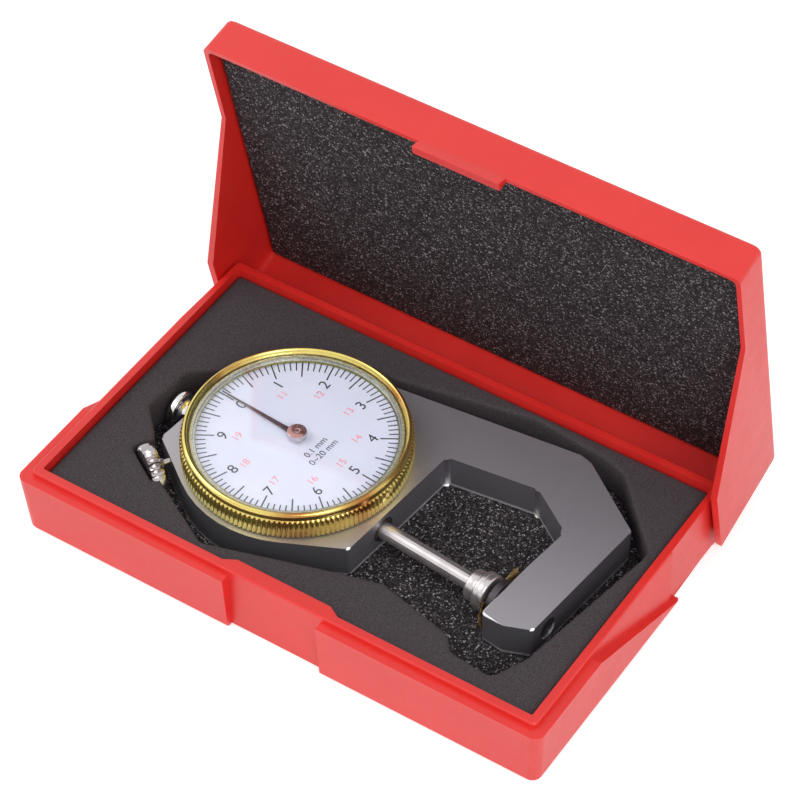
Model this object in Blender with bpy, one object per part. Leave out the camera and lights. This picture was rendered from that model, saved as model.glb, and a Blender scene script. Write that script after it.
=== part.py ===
"""Dial thickness gauge, 20 mm travel, lying in its hinged plastic case with the lid open.

World axes: X along the case towards the jaw end, Y towards the hinge, Z up, origin at the
centre of the tray's underside. The gauge is modelled in its own axes (u along the spindle
towards the anvil, v across it towards the spine, z up from the plate's back, origin under the
dial centre) and is placed by the empty named gauge. The lid is modelled closed, about its hinge.
"""

import math

import bmesh
import bpy
from mathutils import Matrix, Vector

# Clearances and facets
GAP = 0.0003  # between pieces that rest on each other or run in each other
OVERRUN = 0.003  # how far a cutter passes the face that it opens
OVERLAP = 0.0005  # how far two shapes of one moulding run into each other
FACETS = 40  # round a large turned piece
CAP_FACETS = 30  # round the dust cap
FINE_FACETS = 20  # round a pin, rod or bore
SMALL_FACETS = 10  # round a wheel's lightening hole
CORNER_STEPS = 4  # facets in a rounded corner

# Gauge plate outline
BODY_RADIUS = 0.0270
CAP_FLAT_DEPTH = 0.0004
LUG_DROP = 0.0155
THROAT_DROP = 0.0153
THROAT_TOP = 0.0189
THROAT_WIDTH = 0.0330
SPINE_CORNER_BACK = 0.0113  # from the jaw's face back to the throat's inner corner
SPINE_CORNER_V = 0.0238
JAW_PROUD = 0.0006
JAW_TOP = 0.0044
JAW_DROP = 0.0117
ARM_WIDTH = 0.0118
ARM_INNER_TOP = 0.0174
ARM_TOE_RISE = 0.0029
ARM_SHOULDER_V = 0.0265
SPINE_PEAK_BACK = 0.0202  # from the arm's outer face back to the spine's peak
SPINE_PEAK_V = 0.0381
SPINE_PEAK_ROUND = 0.0045
PLATE_ROUND = 0.0012
TIP_ROUND = 0.0022
PLATE_THICKNESS = 0.0087
PLATE_CHAMFER = 0.0004

# Movement well and bores in the plate
WELL_RIM = 0.0022  # from the bezel's spigot in to the well
WELL_FLOOR = 0.0016
SPIGOT_GROOVE_DEPTH = 0.0017
PIVOT_DEPTH = 0.0009
SPINDLE_DROP = 0.0034
BUSH_LENGTH = 0.0039
BUSH_WALL = 0.0006

# Spindle, rack and contacts
ROD_RADIUS = 0.0020
ROD_REAR = 0.0036
TRAVEL = 0.0200
TRAVEL_PER_TURN = 0.0100
RACK_REST_TEETH = 4  # past those that the travel needs
STUD_RADIUS = 0.0012
STUD_LENGTH = 0.0025
DISC_SMALL_RADIUS = 0.0037
DISC_SMALL_LENGTH = 0.0025
DISC_RADIUS = 0.0045
DISC_LENGTH = 0.0029
DISC_CHAMFER = 0.0004
PAPER_THICKNESS = 0.0003
PAPER_TOP_V = 0.0055
PAPER_BOTTOM_V = 0.0114
PAPER_FOOT_Z = 0.0003
PAPER_HEIGHT = 0.0095
ANVIL_HEIGHT = 0.0022
ANVIL_STEM_RADIUS = 0.0024
ANVIL_RECESS = 0.0004

# Gear train
PINION_TEETH = 16
WHEEL_TEETH = 64
TIP_SHARE = 0.20  # of the pitch, at a tooth's tip
ROOT_SHARE = 0.50  # of the pitch, at a tooth's root
ADDENDUM = 0.00016
DEDENDUM = 0.00024
PINION_HALF_WIDTH = 0.0011
WHEEL_THICKNESS = 0.0008
WHEEL_HOLES = 5
WHEEL_HOLE_RADIUS = 0.0012
ARBOR_RADIUS = 0.0006
COLLET_RADIUS = 0.0012
COLLET_LENGTH = 0.0016
SPRING_TURNS = 4
SPRING_TURN_STEPS = 18
SPRING_PITCH = 0.0010
SPRING_STRIP = 0.0003
SPRING_HEIGHT = 0.0012
SPRING_RISE = 0.0007
POST_RADIUS = 0.0005

# Guide block, bridge and its pillars
BLOCK_INSET = 0.0027  # from the well's wall in to the guide block
BLOCK_LENGTH = 0.0080
BLOCK_HALF_WIDTH = 0.0035
BRIDGE_UNDERSIDE = 0.0088
BRIDGE_THICKNESS = 0.0010
BRIDGE_ROUND = 0.0030
BRIDGE_CHAMFER = 0.00015
PILLAR_INSET = 0.0050  # from the well's wall in to the pillars
PILLAR_TURNS = (math.radians(30.0), math.radians(150.0), math.radians(270.0))
PILLAR_RADIUS = 0.0016
PILLAR_BORE = 0.0010
PILLAR_BORE_DEPTH = 0.0020
SCREW_SHANK = 0.0007
SCREW_HEAD = 0.0014
SCREW_HEAD_HEIGHT = 0.0008
SCREW_SLOT_WIDTH = 0.0004
SCREW_SLOT_DEPTH = 0.0003
SCREW_TURN = math.radians(40.0)  # from one screw's slot to the next

# Bezel, crystal and dial
BEZEL_INSET = 0.0010  # from the plate's round edge
BEZEL_HEIGHT = 0.0072  # above the plate's face
BEZEL_WALL = 0.0020
LEDGE_SHARE = 0.45  # of the bezel's height, where the dial lies
KNURL_TOP = 0.0050
KNURL_DEPTH = 0.0004
KNURLS = 144
BEZEL_COLUMNS = 48
SHOULDER_INSET = 0.0009
SHOULDER_TOP = 0.0060
CREST_INSET = 0.0019
LIP_WIDTH = 0.0009  # over the crystal's flange
LIP_THICKNESS = 0.0007
WINDOW_BEVEL = 0.0001
SPIGOT_INSET = 0.0015
SPIGOT_WALL = 0.0013
CRYSTAL_FLANGE = 0.0003
CRYSTAL_WALL = 0.0009
CRYSTAL_RISE = 0.0003  # crest of the dome above the bezel's crest
DIAL_THICKNESS = 0.0005
DIAL_HOLE = 0.0015
DIAL_RING_LEDGE = 0.0006
DIAL_RING_INSET = 0.0001
DIAL_RING_HEIGHT = 0.0011
DIAL_RING_LOW = 0.0005
POINTER_THICKNESS = 0.0003
POINTER_RISE = 0.0006
POINTER_SHORT = 0.0008  # of the ring round the dial
POINTER_BOSS = 0.0022
POINTER_ROOT = 0.0006
POINTER_TIP = 0.0003
HUB_STEM = 0.0009
HUB_RADIUS = 0.0021
HUB_HEAD = 0.0009
HUB_CHAMFER = 0.0003

# Dust cap and clamp screw
CAP_PLUG_LENGTH = 0.0024
CAP_NECK_RADIUS = 0.0033
CAP_NECK_LENGTH = 0.0036
CAP_RADIUS = 0.0046
CAP_RIM = 0.0012
CAP_DOME = 0.0020
CLAMP_STAND = 0.00546  # from the plate's round edge to the middle of the head
CLAMP_BEARING = math.radians(224.63)  # of the head, seen from the dial's centre
CLAMP_TURN = math.radians(244.0)  # direction from the tip to the head, seen from above
CLAMP_HEIGHT = 0.0073
CLAMP_HEAD_RADIUS = 0.0054
CLAMP_HEAD_LENGTH = 0.0035
CLAMP_KNURLS = 36
CLAMP_KNURL_DEPTH = 0.0003
CLAMP_CHAMFER = 0.0005
CLAMP_COLLAR_RADIUS = 0.0013
CLAMP_COLLAR_LENGTH = 0.0010
CLAMP_STEM_RADIUS = 0.0008

# Foams and the case's room round the gauge
GAUGE_TURN = math.radians(-5.4)
FOAM_FLOOR = 0.0037
FOAM_SHEET = 0.0096
FOAM_PAD = 0.0052
PAD_PRESSED = 0.0018  # thickness left where the bezel sits in it under the closed lid
PAD_HOLLOW_ROOM = 0.0018
PAD_HOLLOW_FLARE = 0.0010
PAD_FRONT_ROOM = 0.0020
POCKET_MARGIN = 0.0030
KNOB_ROOM = 0.0005
POCKET_ROUND = 0.0020
POCKET_ARM_FALL = 0.00585  # from the spine's peak down to the pocket's corner over the jaw
POCKET_BACK_FALL = 0.0022  # from the spine's peak down to the pocket's round part
POCKET_ARC_START = math.radians(84.0)
POCKET_ARC_END = math.radians(165.0)
POCKET_ARC_STEPS = 9
POCKET_CORNER_STEPS = 3
BORDER_LEFT = 0.00716
BORDER_RIGHT = 0.00313
BORDER_FRONT = 0.00287
BORDER_BACK = 0.00185

# Tray
TRAY_FLOOR = 0.0018
LIP_STAND = 0.0019  # above the foam sheet
LIP_WALL = 0.0020
LIP_CORNER = 0.0012
ROOM_CORNER = 0.0004
SKIRT_CORNER = 0.0022
SHOULDER_DROP = 0.0014
SHOULDER_OUTSET = 0.0024
FOOT_OUTSET = 0.0014
FOOT_ROUND = 0.0006
FOOT_CHAMFER = 0.0003
RAMP_TOP_Y = 0.0169  # in front of the tray's middle
RAMP_FOOT_Y = 0.0195  # behind the tray's middle
SIDE_STEP_Y = 0.0168
SIDE_STEP = 0.0005
LATCH_WIDTH = 0.0240
LATCH_BULGE = 0.0016
LATCH_BULGE_FLANK = 0.0029

# Hinge and lid
HINGE_HEIGHT = 0.0044
BARREL_RADIUS = 0.0025
PIN_RADIUS = 0.0015
PIN_REACH = 0.0025
OPEN_ANGLE = math.radians(-77.67)
LID_WALL = 0.0017
LID_ROOF = 0.0016
LID_DRAFT = 0.0008
LID_CORNER = 0.0016
LID_EDGE_ROUND = 0.0012
LID_INNER_CORNER = 0.0015
SKIRT_GAP = 0.0006
HEEL_RADIUS = 0.0041
TAB_WIDTH = 0.0216
TAB_DROP = 0.0026
TAB_FLARE = 0.0007
TAB_LEAN = 0.0004

# Places that follow from the sizes above
CAP_FLAT = BODY_RADIUS - CAP_FLAT_DEPTH
THROAT_FACE = BODY_RADIUS
JAW_FACE = THROAT_FACE + THROAT_WIDTH
ARM_BACK = JAW_FACE + ARM_WIDTH
SPINE_CORNER_U = JAW_FACE - SPINE_CORNER_BACK
SPINE_PEAK_U = ARM_BACK - SPINE_PEAK_BACK
BEZEL_RADIUS = BODY_RADIUS - BEZEL_INSET
SHOULDER_RADIUS = BEZEL_RADIUS - SHOULDER_INSET
CREST_RADIUS = BEZEL_RADIUS - CREST_INSET
SEAT_RADIUS = BEZEL_RADIUS - BEZEL_WALL
WINDOW_RADIUS = SEAT_RADIUS - LIP_WIDTH
DIAL_RING_STEP = WINDOW_RADIUS - DIAL_RING_INSET
DIAL_RING_INNER = DIAL_RING_STEP - DIAL_RING_LEDGE
SPIGOT_OUTER = SEAT_RADIUS - SPIGOT_INSET
SPIGOT_INNER = SPIGOT_OUTER - SPIGOT_WALL
WELL_RADIUS = SPIGOT_INNER - WELL_RIM
PILLAR_CIRCLE = WELL_RADIUS - PILLAR_INSET
BLOCK_START = WELL_RADIUS - BLOCK_INSET - BLOCK_LENGTH
POINTER_LENGTH = DIAL_RING_INNER - POINTER_SHORT
CLAMP_HEAD = (
    (BODY_RADIUS + CLAMP_STAND) * math.cos(CLAMP_BEARING),
    (BODY_RADIUS + CLAMP_STAND) * math.sin(CLAMP_BEARING),
)
PLATE_TOP = PLATE_THICKNESS
SPINDLE_Z = PLATE_THICKNESS / 2
BEZEL_TOP = PLATE_TOP + BEZEL_HEIGHT
CRYSTAL_TOP = BEZEL_TOP + CRYSTAL_RISE
LEDGE_TOP = PLATE_TOP + GAP + (BEZEL_HEIGHT - GAP) * LEDGE_SHARE
DIAL_TOP = LEDGE_TOP + GAP + DIAL_THICKNESS
PITCH_RADIUS = TRAVEL_PER_TURN / math.tau
RACK_LINE = SPINDLE_DROP - PITCH_RADIUS  # the rack's pitch line, beside the spindle's axis
WHEEL_RADIUS = PITCH_RADIUS * WHEEL_TEETH / PINION_TEETH
WHEEL_OFFSET = PITCH_RADIUS + WHEEL_RADIUS
WHEEL_UNDERSIDE = SPINDLE_Z - WHEEL_THICKNESS / 2
ANVIL_FACE = JAW_FACE - ANVIL_HEIGHT
PAPER_FACE = ANVIL_FACE - GAP - PAPER_THICKNESS
DISC_FACE = PAPER_FACE - GAP
DISC_START = DISC_FACE - DISC_LENGTH - DISC_SMALL_LENGTH
ROD_END = DISC_START - GAP
FOAM_FLOOR_Z = TRAY_FLOOR + GAP
FOAM_SHEET_Z = FOAM_FLOOR_Z + FOAM_FLOOR + GAP
GAUGE_Z = FOAM_SHEET_Z
FOAM_TOP = FOAM_SHEET_Z + FOAM_SHEET
TRAY_HEIGHT = FOAM_TOP + LIP_STAND
SHOULDER_Z = TRAY_HEIGHT - SHOULDER_DROP
PAD_UNDERSIDE = GAUGE_Z + CRYSTAL_TOP + GAP
LID_CEILING = PAD_UNDERSIDE + PAD_PRESSED + GAP
LID_TOP = LID_CEILING + LID_ROOF

RED = ("red plastic", (0.72, 0.045, 0.05), 0.38, 0.0)
FOAM_GREY = ("foam sheet", (0.062, 0.052, 0.06), 0.9, 0.0)
FOAM_BLACK = ("coarse foam", (0.030, 0.022, 0.026), 0.95, 0.0)
SATIN_STEEL = ("satin steel plate", (0.36, 0.35, 0.38), 0.38, 0.9)
POLISHED = ("polished steel", (0.72, 0.72, 0.74), 0.16, 1.0)
CHROME = ("chrome", (0.80, 0.80, 0.82), 0.08, 1.0)
GOLD = ("gilt brass", (0.72, 0.50, 0.20), 0.22, 1.0)
BRASS = ("brass", (0.66, 0.47, 0.20), 0.30, 1.0)
DIAL_WHITE = ("dial enamel", (0.68, 0.76, 0.88), 0.35, 0.0)
CLEAR = ("clear crystal", (0.92, 0.96, 1.0), 0.05, 0.0)
POINTER_BROWN = ("pointer lacquer", (0.035, 0.015, 0.012), 0.35, 0.2)
COPPER = ("copper hub", (0.66, 0.36, 0.24), 0.20, 1.0)
PAPER_BROWN = ("oiled paper", (0.20, 0.11, 0.05), 0.7, 0.0)
SPRING_BLUE = ("spring steel", (0.20, 0.22, 0.30), 0.25, 1.0)


def material_of(finish):
    """The material for one finish: name, colour, roughness and metallic value."""
    name, colour, roughness, metallic = finish
    found = bpy.data.materials.get(name)
    if found:
        return found
    material = bpy.data.materials.new(name)
    material.use_nodes = True
    shader = material.node_tree.nodes["Principled BSDF"]
    shader.inputs["Base Color"].default_value = (*colour, 1.0)
    shader.inputs["Roughness"].default_value = roughness
    shader.inputs["Metallic"].default_value = metallic
    return material


def new_object(name, shape, finish=None, parent=None, location=(0, 0, 0), turn=(0, 0, 0)):
    """A mesh object made from a bmesh, with its faces turned outwards."""
    bmesh.ops.recalc_face_normals(shape, faces=shape.faces)
    mesh = bpy.data.meshes.new(name)
    shape.to_mesh(mesh)
    shape.free()
    made = bpy.data.objects.new(name, mesh)
    bpy.context.scene.collection.objects.link(made)
    made.parent = parent
    made.location = location
    made.rotation_euler = turn
    if finish:
        mesh.materials.append(material_of(finish))
        mesh.shade_smooth()
        mesh.set_sharp_from_angle(angle=math.radians(35))
    return made


def new_empty(name, location=(0, 0, 0), turn=(0, 0, 0), parent=None):
    empty = bpy.data.objects.new(name, None)
    bpy.context.scene.collection.objects.link(empty)
    empty.parent = parent
    empty.location = location
    empty.rotation_euler = turn
    return empty


def combine(target, shape, operation="DIFFERENCE", location=(0, 0, 0), turn=(0, 0, 0)):
    """Cuts a helper shape from the target or, with UNION, joins it on."""
    name = target.name + "_helper_" + str(len(target.modifiers) + 1)
    helper = new_object(name, shape, None, target.parent, location, turn)
    helper.hide_render = True
    helper.display_type = "WIRE"
    modifier = target.modifiers.new(helper.name, "BOOLEAN")
    modifier.operation = operation
    modifier.solver = "EXACT"
    modifier.object = helper


def arc(centre, radius, start, end, steps):
    """Points along an arc, both ends included; angles in radians."""
    turns = [start + (end - start) * i / steps for i in range(steps + 1)]
    return [(centre[0] + radius * math.cos(t), centre[1] + radius * math.sin(t)) for t in turns]


def circle(radius, sides, centre=(0, 0)):
    return arc(centre, radius, 0, math.tau, sides)[:-1]


def rounded(corners, steps=CORNER_STEPS):
    """A closed outline from (x, y, fillet radius) corners; radius 0 keeps the point."""
    points = []
    for i, (x, y, radius) in enumerate(corners):
        here = Vector((x, y))
        if not radius:
            points.append((x, y))
            continue
        back = (Vector(corners[i - 1][:2]) - here).normalized()
        ahead = (Vector(corners[(i + 1) % len(corners)][:2]) - here).normalized()
        half = math.acos(max(-1, min(1, back.dot(ahead)))) / 2
        centre = here + (back + ahead).normalized() * radius / math.sin(half)
        first = here + back * radius / math.tan(half) - centre
        last = here + ahead * radius / math.tan(half) - centre
        start = math.atan2(first.y, first.x)
        swing = math.remainder(math.atan2(last.y, last.x) - start, math.tau)
        points += arc(centre, radius, start, start + swing, steps)
    return points


def tangent_turn(corner, radius, side):
    """Direction of the point where a line from the corner touches a circle about the origin."""
    reach = math.hypot(*corner)
    return math.atan2(corner[1], corner[0]) + side * math.acos(radius / reach)


def rectangle(x0, y0, x1, y1, radius=0.0):
    return rounded([(x0, y0, radius), (x1, y0, radius), (x1, y1, radius), (x0, y1, radius)])


def ring_of(shape, outline, z):
    return [shape.verts.new((x, y, z)) for x, y in outline]


def skin(shape, one, other):
    """Faces between two rings, of which one may be a single point or hold several per edge."""
    if len(one) > len(other):
        one, other = other, one
    few, many = len(one), len(other)
    per_edge = many // few
    for i in range(few):
        after = (i + 1) % few
        if few == many:
            shape.faces.new((one[i], one[after], other[after], other[i]))
            continue
        for j in range(i * per_edge, (i + 1) * per_edge):
            shape.faces.new((one[i], other[(j + 1) % many], other[j]))
        if few > 1:
            shape.faces.new((one[i], one[after], other[after * per_edge % many]))


def loft(levels):
    """A solid through (outline, z) levels whose outlines have the same number of points."""
    shape = bmesh.new()
    rings = [ring_of(shape, outline, z) for outline, z in levels]
    for below, above in zip(rings, rings[1:]):
        skin(shape, below, above)
    shape.faces.new(rings[0])
    shape.faces.new(rings[-1])
    return shape


def prism(outline, low, high, chamfer=0.0):
    """An outline raised from one height to another, its rims chamfered if asked."""
    shape = loft([(outline, low), (outline, high)])
    if chamfer:
        rims = [e for e in shape.edges if e.verts[0].co.z == e.verts[1].co.z]
        bmesh.ops.bevel(shape, geom=rims, offset=chamfer, segments=1, affect="EDGES")
    return shape


def side_prism(outline, low, high):
    """A prism along X whose outline is given in (y, z)."""
    shape = prism(outline, low, high)
    # Sends x to y, y to z and z to x.
    shape.transform(Matrix(((0, 0, 1, 0), (1, 0, 0, 0), (0, 1, 0, 0), (0, 0, 0, 1))))
    return shape


def turned(profile, columns=FACETS, closed=False, knurled=(), knurls=0, depth=0.0):
    """A solid turned about Z from (radius, z) points, top to bottom or round a hollow one.

    Rows listed in knurled carry V-shaped ribs: their radius falls by depth between two ribs.
    """
    shape = bmesh.new()
    rings = []
    for row, (radius, z) in enumerate(profile):
        if radius == 0:
            rings.append([shape.verts.new((0, 0, z))])
        elif row in knurled:
            points = circle(1, 2 * knurls)
            radii = [radius - depth * (i % 2) for i in range(2 * knurls)]
            outline = [(x * r, y * r) for (x, y), r in zip(points, radii)]
            rings.append(ring_of(shape, outline, z))
        else:
            rings.append(ring_of(shape, circle(radius, columns), z))
    for one, other in zip(rings, rings[1:]):
        skin(shape, one, other)
    if closed:
        skin(shape, rings[-1], rings[0])
    else:
        for end in (rings[0], rings[-1]):
            if len(end) > 1:
                shape.faces.new(end)
    return shape


def rod(radius, low, high, columns=FINE_FACETS):
    return turned([(radius, high), (radius, low)], columns)


def tube(outer, inner, low, high, columns=FINE_FACETS):
    return turned([(inner, high), (outer, high), (outer, low), (inner, low)], columns, closed=True)


# Half turn that lays a piece turned about Z along the spindle
ALONG_SPINDLE = (0, math.pi / 2, 0)


def gauge_outline():
    """The C-shaped plate, seen from above and taken counter-clockwise from the throat corner."""
    mouth = (THROAT_FACE, -THROAT_DROP)
    lug = (-CAP_FLAT, -LUG_DROP)
    peak = (SPINE_PEAK_U, SPINE_PEAK_V)
    arm_inner = JAW_FACE + JAW_PROUD
    flat_turn = math.pi - math.acos(CAP_FLAT / BODY_RADIUS)
    back_turn = tangent_turn(peak, BODY_RADIUS, 1)
    lug_turn = tangent_turn(lug, BODY_RADIUS, 1)
    mouth_turn = tangent_turn(mouth, BODY_RADIUS, -1)
    corners = [(*mouth, PLATE_ROUND), (THROAT_FACE, THROAT_TOP, PLATE_ROUND)]
    corners += [(SPINE_CORNER_U, SPINE_CORNER_V, TIP_ROUND)]
    corners += [(arm_inner, ARM_INNER_TOP, TIP_ROUND), (arm_inner, JAW_TOP + JAW_PROUD, 0)]
    corners += [(JAW_FACE, JAW_TOP, 0), (JAW_FACE, -JAW_DROP, PLATE_ROUND)]
    corners += [((JAW_FACE + ARM_BACK) / 2, -JAW_DROP, TIP_ROUND)]
    corners += [(ARM_BACK, ARM_TOE_RISE - JAW_DROP, PLATE_ROUND)]
    corners += [(ARM_BACK, ARM_SHOULDER_V, PLATE_ROUND), (*peak, SPINE_PEAK_ROUND)]
    back = arc((0, 0), BODY_RADIUS, back_turn, flat_turn, 2 * CORNER_STEPS)
    corners += [(u, v, 0) for u, v in back]
    corners += [(*lug, PLATE_ROUND)]
    front = arc((0, 0), BODY_RADIUS, lug_turn, mouth_turn, 2 * CORNER_STEPS)
    corners += [(u, v, 0) for u, v in front]
    return rounded(corners)


# Room left beside the gauge at each corner of the foam's pocket, along u and v, as shares of
# POCKET_MARGIN. The order is that of the places in pocket_outline.
POCKET_ROOM_SHARES = (
    (-0.30, 0.60),
    (-0.30, -0.80),
    (-0.70, 0.05),
    (0.40, -1.20),
    (-0.35, -2.35),
    (0.40, -2.50),
    (0.00, -1.10),
    (-0.40, -3.15),
    (0.60, -4.25),
    (0.30, -4.30),
    (1.30, -1.50),
    (2.30, -1.10),
    (0.30, 2.10),
    (1.10, 0.55),
    (0.00, 1.25),
)
MOUTH_STEP_SHARE = 0.38  # of the way across the throat, where the foam comes nearest
BACK_STEP_SHARE = 0.30  # of the way along the spine, where the pocket joins its round part


def pocket_outline():
    """The opening in the foam sheet: the gauge's places, each with its share of the margin."""
    cap_end = -(CAP_FLAT + GAP + CAP_NECK_LENGTH + CAP_RIM + CAP_DOME)
    mouth_step = THROAT_FACE + (JAW_FACE - THROAT_FACE) * MOUTH_STEP_SHARE
    round_part = BODY_RADIUS + POCKET_MARGIN
    diagonal = round_part * math.sqrt(1 / 2)
    places = (
        (cap_end, CAP_RADIUS - SPINDLE_DROP),
        (cap_end, -CAP_RADIUS - SPINDLE_DROP),
        (-CAP_FLAT, -LUG_DROP),
        (-diagonal, -diagonal),
        (ROD_RADIUS, -BODY_RADIUS),
        (THROAT_FACE, -THROAT_DROP),
        (mouth_step, -THROAT_DROP),
        (JAW_FACE, -JAW_DROP),
        (JAW_FACE, -JAW_DROP),
        (ARM_BACK, -JAW_DROP),
        (ARM_BACK, -JAW_DROP),
        (ARM_BACK, ARM_SHOULDER_V),
        (JAW_FACE, SPINE_PEAK_V - POCKET_ARM_FALL),
        (SPINE_PEAK_U, SPINE_PEAK_V),
        (SPINE_PEAK_U * (1 - BACK_STEP_SHARE), SPINE_PEAK_V - POCKET_BACK_FALL),
    )
    corners = []
    for (u, v), (more_u, more_v) in zip(places, POCKET_ROOM_SHARES):
        corners.append((u + more_u * POCKET_MARGIN, v + more_v * POCKET_MARGIN, POCKET_ROUND))
    back = arc((0, 0), round_part, POCKET_ARC_START, POCKET_ARC_END, POCKET_ARC_STEPS)
    corners += [(u, v, 0) for u, v in back]
    return rounded(corners, steps=POCKET_CORNER_STEPS)


def turned_in_case(points):
    """Points of the gauge's plan turned as it lies in the case."""
    cos, sin = math.cos(GAUGE_TURN), math.sin(GAUGE_TURN)
    return [(u * cos - v * sin, u * sin + v * cos) for u, v in points]


POCKET_IN_CASE = turned_in_case(pocket_outline())
POCKET_LEFT = min(x for x, y in POCKET_IN_CASE)
POCKET_RIGHT = max(x for x, y in POCKET_IN_CASE)
POCKET_FRONT = min(y for x, y in POCKET_IN_CASE)
POCKET_BACK = max(y for x, y in POCKET_IN_CASE)
INNER_HALF_LENGTH = (POCKET_RIGHT - POCKET_LEFT + BORDER_LEFT + BORDER_RIGHT) / 2
INNER_HALF_WIDTH = (POCKET_BACK - POCKET_FRONT + BORDER_FRONT + BORDER_BACK) / 2
HALF_LENGTH = INNER_HALF_LENGTH + LIP_WALL
HALF_WIDTH = INNER_HALF_WIDTH + LIP_WALL
GAUGE_X = BORDER_LEFT - INNER_HALF_LENGTH - POCKET_LEFT
GAUGE_Y = BORDER_FRONT - INNER_HALF_WIDTH - POCKET_FRONT
HINGE_Y = HALF_WIDTH
RIM_Z = SHOULDER_Z + GAP
LID_HALF_LENGTH = HALF_LENGTH + SHOULDER_OUTSET
LID_FRONT = -HALF_WIDTH - SHOULDER_OUTSET
LID_BACK = HINGE_Y + BARREL_RADIUS
LID_INNER_HALF = LID_HALF_LENGTH - LID_WALL
RAIL_TOP = HINGE_HEIGHT + BARREL_RADIUS


def tray_room(inset):
    """The tray's inside, seen from above, whose lip bulges inwards behind the latch."""
    x = INNER_HALF_LENGTH - inset
    y = INNER_HALF_WIDTH - inset
    corner = ROOM_CORNER
    flat = LATCH_WIDTH / 2 + inset
    flank = flat + LATCH_BULGE_FLANK
    bulge = -y + LATCH_BULGE
    corners = [(-x, -y, corner), (-flank, -y, 0), (-flat, bulge, 0), (flat, bulge, 0)]
    corners += [(flank, -y, 0), (x, -y, corner), (x, y, corner), (-x, y, corner)]
    return rounded(corners)


def ramp_y(z, offset=0.0):
    """Where the tray's sloping side edge, moved outwards by the offset, is at height z."""
    run = RAMP_TOP_Y + RAMP_FOOT_Y
    along = math.hypot(run, SHOULDER_Z)
    return -RAMP_TOP_Y + ((SHOULDER_Z - z) * run + offset * along) / SHOULDER_Z


def tray_core():
    """The inner box whose lip stands above the shoulder; its sides step in near the hinge."""
    near, far = HALF_LENGTH, HALF_LENGTH - SIDE_STEP
    corners = [(-near, -HALF_WIDTH, LIP_CORNER), (near, -HALF_WIDTH, LIP_CORNER)]
    corners += [(near, SIDE_STEP_Y, 0), (far, SIDE_STEP_Y, 0), (far, HALF_WIDTH, LIP_CORNER)]
    corners += [(-far, HALF_WIDTH, LIP_CORNER), (-far, SIDE_STEP_Y, 0), (-near, SIDE_STEP_Y, 0)]
    return prism(rounded(corners), 0, TRAY_HEIGHT, FOOT_CHAMFER)


def tray_skirt():
    """The drafted outer wall at the front and sides, up to the shoulder."""
    rear = RAMP_FOOT_Y + OVERRUN
    levels = []
    for outset, z in ((FOOT_OUTSET - FOOT_ROUND, 0), (FOOT_OUTSET, FOOT_ROUND),
                      (SHOULDER_OUTSET, SHOULDER_Z)):
        x, y = HALF_LENGTH + outset, HALF_WIDTH + outset
        corner = SKIRT_CORNER
        corners = [(-x, -y, corner), (x, -y, corner), (x, rear, 0), (-x, rear, 0)]
        levels.append((rounded(corners), z))
    return loft(levels)


def hinge_rail():
    """The rear rail: a barrel about the hinge axis, whose sloping back stops the open lid."""
    lean = math.pi / 2 + OPEN_ANGLE
    axis = (HINGE_Y, HINGE_HEIGHT)
    foot_y = HINGE_Y + (BARREL_RADIUS + HINGE_HEIGHT * math.sin(lean)) / math.cos(lean)
    front_y = HINGE_Y - BARREL_RADIUS
    outline = [(front_y, 0), (foot_y, 0)]
    outline += arc(axis, BARREL_RADIUS, lean, math.pi / 2, CORNER_STEPS)
    outline += [(front_y, RAIL_TOP)]
    half = HALF_LENGTH - SIDE_STEP
    return side_prism(outline, -half, half)


def build_tray():
    tray = new_object("case_base", tray_skirt(), RED)
    wide = LID_HALF_LENGTH + OVERRUN
    top = SHOULDER_Z + OVERRUN
    rear = HINGE_Y + OVERRUN
    above_ramp = [(ramp_y(top), top), (ramp_y(-OVERRUN), -OVERRUN), (rear, -OVERRUN), (rear, top)]
    combine(tray, side_prism(above_ramp, -wide, wide))
    latch = LATCH_WIDTH / 2
    front = LID_FRONT - OVERRUN
    recess = rectangle(-latch, front, latch, OVERLAP - HALF_WIDTH)
    combine(tray, prism(recess, -OVERRUN, top))
    combine(tray, tray_core(), "UNION")
    combine(tray, hinge_rail(), "UNION")
    combine(tray, prism(tray_room(0), TRAY_FLOOR, TRAY_HEIGHT + OVERRUN))
    for side in (-1, 1):
        end = side * (HALF_LENGTH - SIDE_STEP - PIN_REACH - GAP)
        bore = rod(PIN_RADIUS + GAP, 0, PIN_REACH + OVERRUN)
        combine(tray, bore, "DIFFERENCE", (end, HINGE_Y, HINGE_HEIGHT), (0, side * math.pi / 2, 0))


def build_foams():
    floor = prism(tray_room(GAP), FOAM_FLOOR_Z, FOAM_FLOOR_Z + FOAM_FLOOR)
    new_object("foam_floor", floor, FOAM_BLACK)
    sheet = new_object("foam_sheet", prism(tray_room(GAP), FOAM_SHEET_Z, FOAM_TOP), FOAM_GREY)
    low, high = FOAM_SHEET_Z - OVERRUN, FOAM_TOP + OVERRUN
    place = (GAUGE_X, GAUGE_Y, 0)
    combine(sheet, prism(pocket_outline(), low, high), "DIFFERENCE", place, (0, 0, GAUGE_TURN))
    half = CLAMP_HEAD_RADIUS + KNOB_ROOM
    end = CLAMP_HEAD_LENGTH / 2 + KNOB_ROOM
    knob_room = rectangle(-CLAMP_STAND, -half, end, half, KNOB_ROOM)
    centre = turned_in_case([CLAMP_HEAD])[0]
    place = (GAUGE_X + centre[0], GAUGE_Y + centre[1], 0)
    turn = (0, 0, GAUGE_TURN + CLAMP_TURN)
    combine(sheet, prism(knob_room, low, high), "DIFFERENCE", place, turn)


# The lid's rounded top edge: rise and inset as shares of LID_EDGE_ROUND.
EDGE_ROUND_SHARES = ((0, 0), (0.5, 0.13), (0.87, 0.5), (1, 1))


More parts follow.
